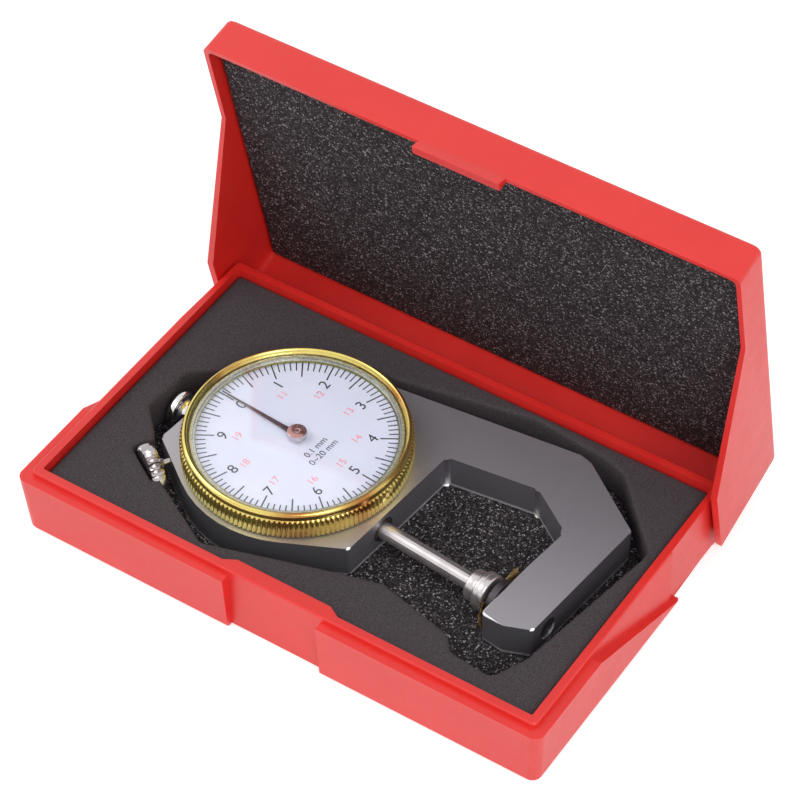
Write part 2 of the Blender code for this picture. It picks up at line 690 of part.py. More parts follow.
def lid_shell():
    """The lid's outer form, drafted towards a rounded top, from below the skirt upwards."""
    lean = LID_DRAFT / (LID_TOP - LID_EDGE_ROUND)
    levels = [(LID_FRONT, LID_BACK, LID_HALF_LENGTH, -OVERRUN)]
    for rise_share, inset_share in EDGE_ROUND_SHARES:
        z = LID_TOP - LID_EDGE_ROUND * (1 - rise_share)
        inset = lean * (LID_TOP - LID_EDGE_ROUND) + LID_EDGE_ROUND * inset_share
        levels.append((LID_FRONT + inset, LID_BACK - inset, LID_HALF_LENGTH - inset, z))
    corner = LID_CORNER
    rings = [(rectangle(-x, front, x, back, corner), z) for front, back, x, z in levels]
    shape = loft(rings)
    shape.transform(Matrix.Translation((0, -HINGE_Y, -HINGE_HEIGHT)))
    return shape


def lid_free_edge():
    """What is cut away under the rim, the sloping side edges and the heel beside the hinge."""
    below = -HINGE_HEIGHT - OVERRUN
    front = LID_FRONT - HINGE_Y - OVERRUN
    rim = RIM_Z - HINGE_HEIGHT
    sole = GAP - HINGE_HEIGHT
    outline = [(front, below), (front, rim), (ramp_y(RIM_Z, SKIRT_GAP) - HINGE_Y, rim)]
    outline += [(ramp_y(GAP, SKIRT_GAP) - HINGE_Y, sole)]
    outline += arc((0, 0), HEEL_RADIUS, -math.pi / 2, 0, 2 * CORNER_STEPS)
    outline += [(HEEL_RADIUS + OVERRUN, 0), (HEEL_RADIUS + OVERRUN, below)]
    wide = LID_HALF_LENGTH + OVERRUN
    return side_prism(outline, -wide, wide)


def build_lid():
    hinge = new_empty("lid_hinge", (0, HINGE_Y, HINGE_HEIGHT), (OPEN_ANGLE, 0, 0))
    lid = new_object("case_lid", lid_shell(), RED, hinge)
    half = LID_INNER_HALF
    front = LID_FRONT + LID_WALL - HINGE_Y
    ceiling = LID_CEILING - HINGE_HEIGHT
    below = -HINGE_HEIGHT - OVERRUN - OVERRUN
    room = rectangle(-half, front, half, GAP, LID_INNER_CORNER)
    combine(lid, prism(room, below, ceiling))
    combine(lid, lid_free_edge())
    back_slot = rectangle(-half, -BARREL_RADIUS, half, BARREL_RADIUS + OVERRUN)
    combine(lid, prism(back_slot, below, BARREL_RADIUS + GAP))
    for side in (-1, 1):
        start = side * (half + OVERLAP)
        hinge_room = half - (HALF_LENGTH - SIDE_STEP)
        pin = rod(PIN_RADIUS, 0, OVERLAP + hinge_room + PIN_REACH)
        combine(lid, pin, "UNION", (start, 0, 0), (0, -side * math.pi / 2, 0))
    rim = RIM_Z - HINGE_HEIGHT
    outer = LID_FRONT - HINGE_Y
    # The latch tab at the middle of the front rim
    tab = [(front, rim - TAB_DROP), (front, rim + OVERLAP), (outer + OVERLAP, rim + OVERLAP)]
    tab += [(outer + TAB_LEAN, rim), (outer - TAB_FLARE, rim - TAB_DROP)]
    combine(lid, side_prism(tab, -TAB_WIDTH / 2, TAB_WIDTH / 2), "UNION")
    build_pad(hinge, front + PAD_FRONT_ROOM, half - GAP)


def build_pad(hinge, front, half):
    """The lid's foam, with the round hollow that the bezel presses into it."""
    top = LID_CEILING - GAP - HINGE_HEIGHT
    low = top - FOAM_PAD
    outline = rectangle(-half, front, half, 0, LID_INNER_CORNER)
    pad = new_object("foam_lid_pad", prism(outline, low, top), FOAM_BLACK, hinge)
    floor_radius = BEZEL_RADIUS + PAD_HOLLOW_ROOM
    flare = PAD_HOLLOW_FLARE * (FOAM_PAD - PAD_PRESSED + OVERRUN) / (FOAM_PAD - PAD_PRESSED)
    profile = [(floor_radius, top - PAD_PRESSED), (floor_radius + flare, low - OVERRUN)]
    combine(pad, turned(profile), "DIFFERENCE", (GAUGE_X, GAUGE_Y - HINGE_Y, 0))


def clamp_reach():
    """How far the clamp screw's tip lies from the middle of its head."""
    head = Vector(CLAMP_HEAD)
    out = Vector((math.cos(CLAMP_TURN), math.sin(CLAMP_TURN)))
    tip_circle = SPIGOT_OUTER + GAP + CLAMP_STEM_RADIUS
    along = head.dot(out)
    reach = math.sqrt(tip_circle**2 - (head.length_squared - along**2))
    return along - reach


def build_plate(gauge):
    plate = new_object("frame_plate", prism(gauge_outline(), 0, PLATE_TOP, PLATE_CHAMFER),
                       SATIN_STEEL, gauge)
    combine(plate, rod(WELL_RADIUS, WELL_FLOOR, PLATE_TOP + OVERRUN, FACETS))
    groove = SPIGOT_OUTER + GAP
    combine(plate, rod(groove, PLATE_TOP - SPIGOT_GROOVE_DEPTH, PLATE_TOP + OVERRUN, FACETS))
    for v in (0, WHEEL_OFFSET):
        combine(plate, rod(ARBOR_RADIUS + GAP, WELL_FLOOR - PIVOT_DEPTH, WELL_FLOOR + OVERRUN),
                "DIFFERENCE", (0, v, 0))
    place = (0, -SPINDLE_DROP, SPINDLE_Z)
    bush_hole = ROD_RADIUS + GAP + BUSH_WALL + GAP
    through = BODY_RADIUS + OVERRUN
    combine(plate, rod(ROD_RADIUS + GAP, -through, through), "DIFFERENCE", place, ALONG_SPINDLE)
    for face, side in ((THROAT_FACE, 1), (CAP_FLAT, -1)):
        seat = rod(bush_hole, face - BUSH_LENGTH, face + OVERRUN)
        combine(plate, seat, "DIFFERENCE", place, (0, side * math.pi / 2, 0))
    anvil_bore = rod(ANVIL_STEM_RADIUS + GAP, JAW_FACE - OVERRUN, ARM_BACK + OVERRUN)
    combine(plate, anvil_bore, "DIFFERENCE", place, ALONG_SPINDLE)
    screw_hole = rod(CLAMP_STEM_RADIUS + GAP, -clamp_reach() - OVERRUN, OVERRUN)
    place = (*CLAMP_HEAD, CLAMP_HEIGHT)
    combine(plate, screw_hole, "DIFFERENCE", place, (0, math.pi / 2, CLAMP_TURN))


def build_bushes(gauge):
    place = (0, -SPINDLE_DROP, SPINDLE_Z)
    bore = ROD_RADIUS + GAP
    bush = tube(bore + BUSH_WALL, bore, THROAT_FACE - BUSH_LENGTH + GAP, THROAT_FACE)
    new_object("guide_bush", bush, BRASS, gauge, place, ALONG_SPINDLE)
    foot = WELL_FLOOR + GAP
    top = 2 * SPINDLE_Z - foot
    side = BLOCK_HALF_WIDTH
    outline = rectangle(BLOCK_START, -side, BLOCK_START + BLOCK_LENGTH, side)
    block = new_object("guide_block", prism(outline, foot, top, PLATE_CHAMFER), BRASS, gauge,
                       (0, -SPINDLE_DROP, 0))
    bore_through = rod(bore, BLOCK_START - OVERRUN, BLOCK_START + BLOCK_LENGTH + OVERRUN)
    combine(block, bore_through, "DIFFERENCE", place, ALONG_SPINDLE)


# The dust cap's dome: radius and rise as shares of CAP_RADIUS and CAP_DOME.
DOME_SHARES = ((0, 1), (0.4, 0.93), (0.72, 0.7), (0.93, 0.35))


def build_cap(gauge):
    """The dust cap: a plug in the rear bore, a neck and a domed head."""
    seat = CAP_FLAT + GAP
    neck_end = seat + CAP_NECK_LENGTH
    plug = ROD_RADIUS + GAP + BUSH_WALL
    rim = neck_end + CAP_RIM
    profile = []
    for radius_share, rise_share in DOME_SHARES:
        profile.append((CAP_RADIUS * radius_share, rim + CAP_DOME * rise_share))
    profile += [(CAP_RADIUS, rim), (CAP_RADIUS, neck_end), (CAP_NECK_RADIUS, neck_end)]
    profile += [(CAP_NECK_RADIUS, seat), (plug, seat), (plug, seat - CAP_PLUG_LENGTH)]
    profile += [(0, seat - CAP_PLUG_LENGTH)]
    place = (0, -SPINDLE_DROP, SPINDLE_Z)
    new_object("dust_cap", turned(profile, CAP_FACETS), CHROME, gauge, place, (0, -math.pi / 2, 0))


def tooth_outline(pitch, teeth):
    """One (along, height) trapezium per tooth, starting half a pitch before the first."""
    tip, root = pitch * TIP_SHARE / 2, pitch * ROOT_SHARE / 2
    points = []
    for i in range(teeth):
        middle = (i + 1 / 2) * pitch
        points += [(middle - root, -DEDENDUM), (middle - tip, ADDENDUM)]
        points += [(middle + tip, ADDENDUM), (middle + root, -DEDENDUM)]
    return points


def gear_outline(teeth, radius, first):
    """A gear's outline whose first tooth stands in the given direction."""
    pitch = math.tau * radius / teeth
    start = first - math.pi / teeth
    outline = []
    for along, height in tooth_outline(pitch, teeth):
        turn = start + along / radius
        reach = radius + height
        outline.append((reach * math.cos(turn), reach * math.sin(turn)))
    return outline


def build_spindle(gauge):
    """The rod with its rack, stud and shoulder, and the contact disc screwed on its end."""
    slide = new_empty("spindle_slide", (0, -SPINDLE_DROP, SPINDLE_Z), parent=gauge)
    profile = [(STUD_RADIUS, ROD_END + STUD_LENGTH), (STUD_RADIUS, ROD_END)]
    profile += [(ROD_RADIUS, ROD_END), (ROD_RADIUS, -ROD_REAR)]
    spindle = new_object("spindle_rack", turned(profile, FINE_FACETS), POLISHED, slide,
                         turn=ALONG_SPINDLE)
    pitch = math.tau * PITCH_RADIUS / PINION_TEETH
    before = math.ceil(ROD_REAR / pitch)
    teeth = before + math.ceil(TRAVEL / pitch) + RACK_REST_TEETH
    # A gap between two teeth faces the pinion when the gauge reads zero.
    start = -(before + 1 / 2) * pitch - pitch / 2
    root = RACK_LINE - DEDENDUM
    comb = [(start + along, RACK_LINE + height) for along, height in tooth_outline(pitch, teeth)]
    comb = [(start - pitch, root)] + comb
    comb += [(comb[-1][0] + pitch / 2, ROD_RADIUS + OVERRUN), (start - pitch, ROD_RADIUS + OVERRUN)]
    combine(spindle, prism(comb, -ROD_RADIUS - OVERRUN, ROD_RADIUS + OVERRUN))
    hole = STUD_RADIUS + GAP
    step = DISC_START + DISC_SMALL_LENGTH
    outer = DISC_RADIUS - DISC_CHAMFER
    profile = [(0, DISC_FACE), (outer, DISC_FACE), (DISC_RADIUS, DISC_FACE - DISC_CHAMFER)]
    profile += [(DISC_RADIUS, step + DISC_CHAMFER), (outer, step), (DISC_SMALL_RADIUS, step)]
    profile += [(DISC_SMALL_RADIUS, DISC_START), (hole, DISC_START)]
    profile += [(hole, DISC_START + STUD_LENGTH), (0, DISC_START + STUD_LENGTH)]
    new_object("contact_disc", turned(profile, FACETS), POLISHED, slide, turn=ALONG_SPINDLE)


def build_anvil(gauge):
    place = (0, -SPINDLE_DROP, SPINDLE_Z)
    seat = JAW_FACE - GAP
    face = ANVIL_FACE + DISC_CHAMFER
    profile = [(0, ARM_BACK - ANVIL_RECESS), (ANVIL_STEM_RADIUS, ARM_BACK - ANVIL_RECESS)]
    profile += [(ANVIL_STEM_RADIUS, seat), (DISC_RADIUS, seat), (DISC_RADIUS, face)]
    profile += [(DISC_RADIUS - DISC_CHAMFER, ANVIL_FACE), (0, ANVIL_FACE)]
    new_object("anvil", turned(profile, FACETS), POLISHED, gauge, place, ALONG_SPINDLE)
    paper = rectangle(PAPER_FACE, -PAPER_BOTTOM_V, PAPER_FACE + PAPER_THICKNESS, PAPER_TOP_V)
    sheet = prism(paper, PAPER_FOOT_Z, PAPER_FOOT_Z + PAPER_HEIGHT)
    new_object("jaw_paper", sheet, PAPER_BROWN, gauge)


def build_bridge(gauge):
    """The bridge over the train, its three pillars and their screws."""
    posts = [(PILLAR_CIRCLE * math.cos(t), PILLAR_CIRCLE * math.sin(t)) for t in PILLAR_TURNS]
    reach = (PILLAR_CIRCLE + 2 * BRIDGE_ROUND) / PILLAR_CIRCLE
    outline = rounded([(u * reach, v * reach, BRIDGE_ROUND) for u, v in posts])
    top = BRIDGE_UNDERSIDE + BRIDGE_THICKNESS
    plate = prism(outline, BRIDGE_UNDERSIDE, top, BRIDGE_CHAMFER)
    bridge = new_object("bridge_plate", plate, BRASS, gauge)
    holes = [(0, 0, ARBOR_RADIUS), (0, WHEEL_OFFSET, ARBOR_RADIUS)]
    holes += [(u, v, SCREW_SHANK) for u, v in posts]
    for u, v, radius in holes:
        hole = rod(radius + GAP, BRIDGE_UNDERSIDE - OVERRUN, top + OVERRUN)
        combine(bridge, hole, "DIFFERENCE", (u, v, 0))
    foot, head = WELL_FLOOR + GAP, BRIDGE_UNDERSIDE - GAP
    bore_end = head - PILLAR_BORE_DEPTH
    under_head = top + GAP
    for number, (u, v) in enumerate(posts, 1):
        profile = [(0, bore_end), (PILLAR_BORE, bore_end), (PILLAR_BORE, head)]
        profile += [(PILLAR_RADIUS, head), (PILLAR_RADIUS, foot), (0, foot)]
        new_object("bridge_pillar_" + str(number), turned(profile, FINE_FACETS), BRASS, gauge,
                   (u, v, 0))
        crown = under_head + SCREW_HEAD_HEIGHT
        profile = [(0, crown), (SCREW_HEAD, crown), (SCREW_HEAD, under_head)]
        profile += [(SCREW_SHANK, under_head), (SCREW_SHANK, bore_end + GAP), (0, bore_end + GAP)]
        screw = new_object("bridge_screw_" + str(number), turned(profile, FINE_FACETS), POLISHED,
                           gauge, (u, v, 0))
        half, long = SCREW_SLOT_WIDTH / 2, SCREW_HEAD + OVERRUN
        slot = prism(rectangle(-long, -half, long, half), crown - SCREW_SLOT_DEPTH, crown + OVERRUN)
        combine(screw, slot, "DIFFERENCE", (u, v, 0), (0, 0, SCREW_TURN * number))


def build_spring(gauge):
    """The flat spiral return spring round the take-up arbor, and the post that holds its end."""
    low = WHEEL_UNDERSIDE + WHEEL_THICKNESS + SPRING_RISE
    inner = COLLET_RADIUS + GAP + SPRING_STRIP / 2
    outer = inner + SPRING_TURNS * SPRING_PITCH
    steps = SPRING_TURNS * SPRING_TURN_STEPS
    sides = []
    for half in (-SPRING_STRIP / 2, SPRING_STRIP / 2):
        turns = [math.tau * SPRING_TURNS * i / steps for i in range(steps + 1)]
        radii = [inner + half + SPRING_PITCH * t / math.tau for t in turns]
        sides.append([(r * math.cos(t), r * math.sin(t)) for r, t in zip(radii, turns)])
    new_object("return_spring", strip_solid(sides, low, low + SPRING_HEIGHT), SPRING_BLUE, gauge,
               (0, WHEEL_OFFSET, 0))
    print("return_spring: least gap between turns", round(SPRING_PITCH - SPRING_STRIP, 5), "m")
    reach = outer + SPRING_STRIP / 2 + GAP + POST_RADIUS
    post = rod(POST_RADIUS, low, BRIDGE_UNDERSIDE - GAP)
    new_object("spring_post", post, POLISHED, gauge, (reach, WHEEL_OFFSET, 0))


def strip_solid(sides, low, high):
    """A flat strip on edge that follows two sides, four-cornered at each step."""
    shape = bmesh.new()
    rings = []
    for near, far in zip(*sides):
        corners = [(*near, low), (*far, low), (*far, high), (*near, high)]
        rings.append([shape.verts.new(corner) for corner in corners])
    for one, other in zip(rings, rings[1:]):
        skin(shape, one, other)
    shape.faces.new(rings[0])
    shape.faces.new(rings[-1])
    return shape


def build_train(gauge):
    """Centre arbor with pinion, pointer and hub, and the take-up wheel."""
    foot = WELL_FLOOR - PIVOT_DEPTH + GAP
    pointer_low = DIAL_TOP + POINTER_RISE
    centre = new_empty("centre_axis", parent=gauge)
    arbor_top = pointer_low - GAP
    arbor = new_object("centre_arbor", rod(ARBOR_RADIUS, foot, arbor_top), POLISHED, centre)
    pinion = prism(gear_outline(PINION_TEETH, PITCH_RADIUS, -math.pi / 2),
                   SPINDLE_Z - PINION_HALF_WIDTH, SPINDLE_Z + PINION_HALF_WIDTH)
    combine(arbor, pinion, "UNION")
    pointer_top = pointer_low + POINTER_THICKNESS
    blade = [(POINTER_LENGTH, -POINTER_TIP / 2), (POINTER_LENGTH, POINTER_TIP / 2)]
    blade += arc((0, 0), POINTER_BOSS, POINTER_ROOT / POINTER_BOSS,
                 math.tau - POINTER_ROOT / POINTER_BOSS, FINE_FACETS)
    pointer = new_object("pointer", prism(blade, pointer_low, pointer_top), POINTER_BROWN, centre,
                         turn=(0, 0, math.pi))
    hole = rod(HUB_STEM + GAP, pointer_low - OVERRUN, pointer_top + OVERRUN)
    combine(pointer, hole)
    head = pointer_top + GAP
    crown = head + HUB_HEAD
    profile = [(0, crown), (HUB_RADIUS - HUB_CHAMFER, crown), (HUB_RADIUS, crown - HUB_CHAMFER)]
    profile += [(HUB_RADIUS, head), (HUB_STEM, head), (HUB_STEM, pointer_low), (0, pointer_low)]
    new_object("pointer_hub", turned(profile, FINE_FACETS), COPPER, centre)
    take_up = new_empty("take_up_axis", (0, WHEEL_OFFSET, 0), parent=gauge)
    # A gap between two teeth faces the pinion.
    first = -math.pi / 2 + math.pi / WHEEL_TEETH
    top = WHEEL_UNDERSIDE + WHEEL_THICKNESS
    wheel = new_object("take_up_wheel",
                       prism(gear_outline(WHEEL_TEETH, WHEEL_RADIUS, first), WHEEL_UNDERSIDE, top),
                       BRASS, take_up)
    collet = top + SPRING_RISE / 2 + COLLET_LENGTH
    profile = [(0, BRIDGE_UNDERSIDE + BRIDGE_THICKNESS - GAP)]
    profile += [(ARBOR_RADIUS, BRIDGE_UNDERSIDE + BRIDGE_THICKNESS - GAP), (ARBOR_RADIUS, collet)]
    profile += [(COLLET_RADIUS, collet), (COLLET_RADIUS, WHEEL_UNDERSIDE - SPRING_RISE)]
    profile += [(ARBOR_RADIUS, WHEEL_UNDERSIDE - SPRING_RISE), (ARBOR_RADIUS, foot), (0, foot)]
    combine(wheel, turned(profile, FINE_FACETS), "UNION")
    for number in range(WHEEL_HOLES):
        turn = math.tau * number / WHEEL_HOLES
        reach = (WHEEL_RADIUS + COLLET_RADIUS) / 2
        place = (reach * math.cos(turn), reach * math.sin(turn), 0)
        hole = rod(WHEEL_HOLE_RADIUS, WHEEL_UNDERSIDE - GAP, top + GAP, SMALL_FACETS)
        combine(wheel, hole, "DIFFERENCE", place)


# Places on the crystal's dome, as shares of its radius
CRYSTAL_SHARES = (0, 0.3, 0.6, 0.85)


def build_bezel(gauge):
    """The knurled bezel with the crystal, the ring under it and the dial that turn with it."""
    turn = new_empty("bezel_axis", parent=gauge)
    foot = PLATE_TOP + GAP
    knurl_top = PLATE_TOP + KNURL_TOP
    lip_low = BEZEL_TOP - LIP_THICKNESS
    spigot_foot = PLATE_TOP - SPIGOT_GROOVE_DEPTH + GAP
    bevel = LIP_THICKNESS / 2
    profile = [(SPIGOT_INNER, spigot_foot), (SPIGOT_OUTER, spigot_foot), (SPIGOT_OUTER, foot)]
    profile += [(BEZEL_RADIUS, foot), (BEZEL_RADIUS, knurl_top)]
    profile += [(SHOULDER_RADIUS, knurl_top + bevel), (SHOULDER_RADIUS, PLATE_TOP + SHOULDER_TOP)]
    profile += [(SHOULDER_RADIUS - bevel, BEZEL_TOP - bevel), (CREST_RADIUS, BEZEL_TOP)]
    profile += [(WINDOW_RADIUS + bevel, BEZEL_TOP - WINDOW_BEVEL)]
    profile += [(WINDOW_RADIUS, BEZEL_TOP - bevel)]
    profile += [(WINDOW_RADIUS, lip_low), (SEAT_RADIUS, lip_low), (SEAT_RADIUS, LEDGE_TOP)]
    profile += [(SPIGOT_INNER, LEDGE_TOP)]
    bezel = turned(profile, BEZEL_COLUMNS, True, (3, 4), KNURLS, KNURL_DEPTH)
    new_object("bezel", bezel, GOLD, turn)
    rim = SEAT_RADIUS - GAP
    plate = tube(rim, DIAL_HOLE, DIAL_TOP - DIAL_THICKNESS, DIAL_TOP, BEZEL_COLUMNS)
    new_object("dial", plate, DIAL_WHITE, turn)
    ring_foot = DIAL_TOP + GAP
    ring_top = ring_foot + DIAL_RING_HEIGHT
    profile = [(DIAL_RING_INNER, ring_foot), (rim, ring_foot), (rim, ring_top)]
    profile += [(DIAL_RING_STEP, ring_top), (DIAL_RING_STEP, ring_foot + DIAL_RING_LOW)]
    profile += [(DIAL_RING_INNER, ring_foot + DIAL_RING_LOW)]
    new_object("dial_ring", turned(profile, BEZEL_COLUMNS, True), CHROME, turn)
    flange_top = lip_low - GAP
    flange_foot = flange_top - CRYSTAL_FLANGE
    edge = WINDOW_RADIUS - GAP
    inner_edge = DIAL_RING_INNER
    inner_top = CRYSTAL_TOP - CRYSTAL_WALL
    rise = CRYSTAL_TOP - lip_low
    profile = [(edge * s, CRYSTAL_TOP - rise * s * s) for s in CRYSTAL_SHARES]
    profile += [(edge, lip_low), (edge, flange_top), (rim, flange_top), (rim, flange_foot)]
    profile += [(inner_edge, flange_foot)]
    profile += [(inner_edge * s, inner_top - (inner_top - flange_foot) * s * s)
                for s in reversed(CRYSTAL_SHARES)]
    new_object("crystal", turned(profile, BEZEL_COLUMNS), CLEAR, turn)


def build_clamp(gauge):
    """The knurled screw whose tip holds the bezel's spigot."""
    back = clamp_reach()
    axis = new_empty("clamp_axis", (*CLAMP_HEAD, CLAMP_HEIGHT), (0, math.pi / 2, CLAMP_TURN), gauge)
    end = CLAMP_HEAD_LENGTH / 2
    rim = CLAMP_HEAD_RADIUS - CLAMP_CHAMFER
    neck = -end - CLAMP_COLLAR_LENGTH
    profile = [(0, end), (rim, end), (CLAMP_HEAD_RADIUS, end - CLAMP_CHAMFER)]
    profile += [(CLAMP_HEAD_RADIUS, CLAMP_CHAMFER - end), (rim, -end), (CLAMP_COLLAR_RADIUS, -end)]
    profile += [(CLAMP_COLLAR_RADIUS, neck), (CLAMP_STEM_RADIUS, neck)]
    profile += [(CLAMP_STEM_RADIUS, -back), (0, -back)]
    screw = turned(profile, CLAMP_KNURLS, False, (2, 3), CLAMP_KNURLS, CLAMP_KNURL_DEPTH)
    new_object("clamp_screw", screw, CHROME, axis)


def clear_scene():
    for old in list(bpy.data.objects):
        bpy.data.objects.remove(old, do_unlink=True)


def main():
    clear_scene()
    gauge = new_empty("gauge", (GAUGE_X, GAUGE_Y, GAUGE_Z), (0, 0, GAUGE_TURN))
    build_tray()
    build_foams()
    build_lid()
    build_plate(gauge)
    build_bushes(gauge)
    build_cap(gauge)
    build_spindle(gauge)
    build_anvil(gauge)
    build_bridge(gauge)
    build_spring(gauge)
    build_train(gauge)
    build_bezel(gauge)
    build_clamp(gauge)
    bpy.context.view_layer.update()
    print("tray lip", round(2 * HALF_LENGTH, 5), "x", round(2 * HALF_WIDTH, 5), "m")
    print("gauge at", round(GAUGE_X, 5), round(GAUGE_Y, 5), round(GAUGE_Z, 5), "m")
    print("hinge at", round(HINGE_Y, 5), HINGE_HEIGHT, "m; lid top", round(LID_TOP, 5), "m")


main()
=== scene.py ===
"""Looks of a dial thickness gauge lying in its open plastic case.

Sizes are written in millimetres and become metres where a piece is placed. The gauge's own
directions are u along the spindle towards the anvil, v across it towards the spine, and z up.
"""
import math

import bmesh
import bpy
import numpy as np
from mathutils import Matrix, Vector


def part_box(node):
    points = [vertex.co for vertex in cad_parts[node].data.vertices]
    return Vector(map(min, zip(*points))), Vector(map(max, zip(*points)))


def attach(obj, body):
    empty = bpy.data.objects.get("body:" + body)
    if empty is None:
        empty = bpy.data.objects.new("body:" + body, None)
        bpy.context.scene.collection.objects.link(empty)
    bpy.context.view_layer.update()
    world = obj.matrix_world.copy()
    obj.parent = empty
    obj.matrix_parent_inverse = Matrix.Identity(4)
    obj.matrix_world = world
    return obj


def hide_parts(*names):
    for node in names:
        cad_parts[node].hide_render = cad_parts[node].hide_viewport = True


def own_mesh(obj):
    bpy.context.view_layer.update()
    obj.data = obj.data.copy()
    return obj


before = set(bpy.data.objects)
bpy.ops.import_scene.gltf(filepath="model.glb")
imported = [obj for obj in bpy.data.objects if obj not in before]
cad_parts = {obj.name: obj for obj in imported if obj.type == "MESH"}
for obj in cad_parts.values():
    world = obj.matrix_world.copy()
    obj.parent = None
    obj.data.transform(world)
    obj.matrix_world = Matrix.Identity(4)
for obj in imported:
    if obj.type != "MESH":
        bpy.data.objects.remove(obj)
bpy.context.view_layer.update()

MM = 0.001


# Tray of the case. Injection-moulded red plastic, satin outside, with the rounded edges and the
# faint unevenness that a mould leaves. Its lip stands above the shoulder that carries the lid.
def shader_of(name, roughness, metallic=0.0):
    """A new material: itself, its node tree, its shader and the place that patterns read."""
    material = bpy.data.materials.new(name)
    material.use_nodes = True
    tree = material.node_tree
    shader = tree.nodes["Principled BSDF"]
    shader.inputs["Roughness"].default_value = roughness
    shader.inputs["Metallic"].default_value = metallic
    place = tree.nodes.new("ShaderNodeTexCoord").outputs["Object"]
    return material, tree, shader, place


def clouding(tree, place, waves, detail=4.0, stretch=(1, 1, 1)):
    """Noise from 0 to 1 with that many waves a metre, stretched by a share along each axis."""
    mapping = tree.nodes.new("ShaderNodeMapping")
    mapping.inputs["Scale"].default_value = stretch
    tree.links.new(place, mapping.inputs["Vector"])
    noise = tree.nodes.new("ShaderNodeTexNoise")
    noise.inputs["Scale"].default_value = waves
    noise.inputs["Detail"].default_value = detail
    tree.links.new(mapping.outputs["Vector"], noise.inputs["Vector"])
    return noise.outputs["Fac"]


def tinted(tree, factor, stops):
    """The colour at a factor between stops, each a place from 0 to 1 and a colour."""
    ramp = tree.nodes.new("ShaderNodeValToRGB")
    elements = ramp.color_ramp.elements
    while len(elements) < len(stops):
        elements.new(0.5)
    for element, (at, colour) in zip(elements, stops):
        element.position = at
        element.color = (*colour, 1.0)
    tree.links.new(factor, ramp.inputs["Fac"])
    return ramp.outputs["Color"]


def spread(tree, factor, low, high, start=0.0, end=1.0):
    """A factor between start and end, spread from low to high."""
    node = tree.nodes.new("ShaderNodeMapRange")
    for side, value in (("From Min", start), ("From Max", end), ("To Min", low), ("To Max", high)):
        node.inputs[side].default_value = value
    tree.links.new(factor, node.inputs["Value"])
    return node.outputs["Result"]


def relief(tree, shader, height, depth):
    """Hills and hollows of that depth in metres, from a height of 0 to 1."""
    bump = tree.nodes.new("ShaderNodeBump")
    bump.inputs["Distance"].default_value = depth
    tree.links.new(height, bump.inputs["Height"])
    tree.links.new(bump.outputs["Normal"], shader.inputs["Normal"])


def fitted(piece, body, slot, *nodes):
    """The piece rides on its body and stands for its CAD nodes, which are hidden. The slot is not
    used.
    """
    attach(piece, body)
    if nodes:
        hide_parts(*nodes)
    return piece


MERGE_WITHIN = 0.002
FLAT_WITHIN = math.radians(0.5)
EDGE_ANGLE = math.radians(25)
CHAMFER_ANGLE = math.radians(9)


def merged_copy(node):
    """A bmesh copy of a CAD node, its loose triangles merged and its flat faces joined."""
    shape = bmesh.new()
    shape.from_mesh(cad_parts[node].data)
    bmesh.ops.remove_doubles(shape, verts=shape.verts, dist=MERGE_WITHIN * MM)
    bmesh.ops.dissolve_limit(shape, angle_limit=FLAT_WITHIN, verts=shape.verts, edges=shape.edges)
    return shape


def moulded(name, node, rounding, finish):
    """The CAD node's copy with each edge rounded by a bevel, or kept sharp if rounding is 0."""
    shape = merged_copy(node)
    mesh = bpy.data.meshes.new(name)
    shape.to_mesh(mesh)
    shape.free()
    mesh.materials.clear()
    mesh.materials.append(finish)
    mesh.shade_smooth()
    mesh.set_sharp_from_angle(angle=EDGE_ANGLE if rounding else CHAMFER_ANGLE)
    piece = bpy.data.objects.new(name, mesh)
    bpy.context.scene.collection.objects.link(piece)
    if not rounding:
        return piece
    bevel = piece.modifiers.new("rounded edges", "BEVEL")
    bevel.width = rounding * MM
    bevel.segments = 3
    bevel.limit_method = "ANGLE"
    bevel.angle_limit = EDGE_ANGLE
    bevel.harden_normals = True
    return piece


red_plastic, tree, shader, place = shader_of("red_plastic", 0.4)
tree.links.new(tinted(tree, clouding(tree, place, 60), [(0.35, (0.745, 0.019, 0.014)),
                                                        (0.65, (0.79, 0.024, 0.018))]),
               shader.inputs["Base Color"])
tree.links.new(spread(tree, clouding(tree, place, 350, 6.0), 0.34, 0.50),
               shader.inputs["Roughness"])
relief(tree, shader, clouding(tree, place, 900, 3.0), 0.03 * MM)
shader.inputs["Specular IOR Level"].default_value = 0.75
shader.inputs["Subsurface Weight"].default_value = 0.3
shader.inputs["Subsurface Radius"].default_value = (1.0, 0.08, 0.05)
shader.inputs["Subsurface Scale"].default_value = 2.0 * MM

CASE_ROUNDING = 0.28
tray = moulded("tray", "case_base", CASE_ROUNDING, red_plastic)
fitted(tray, "root", "red_plastic", "case_base")


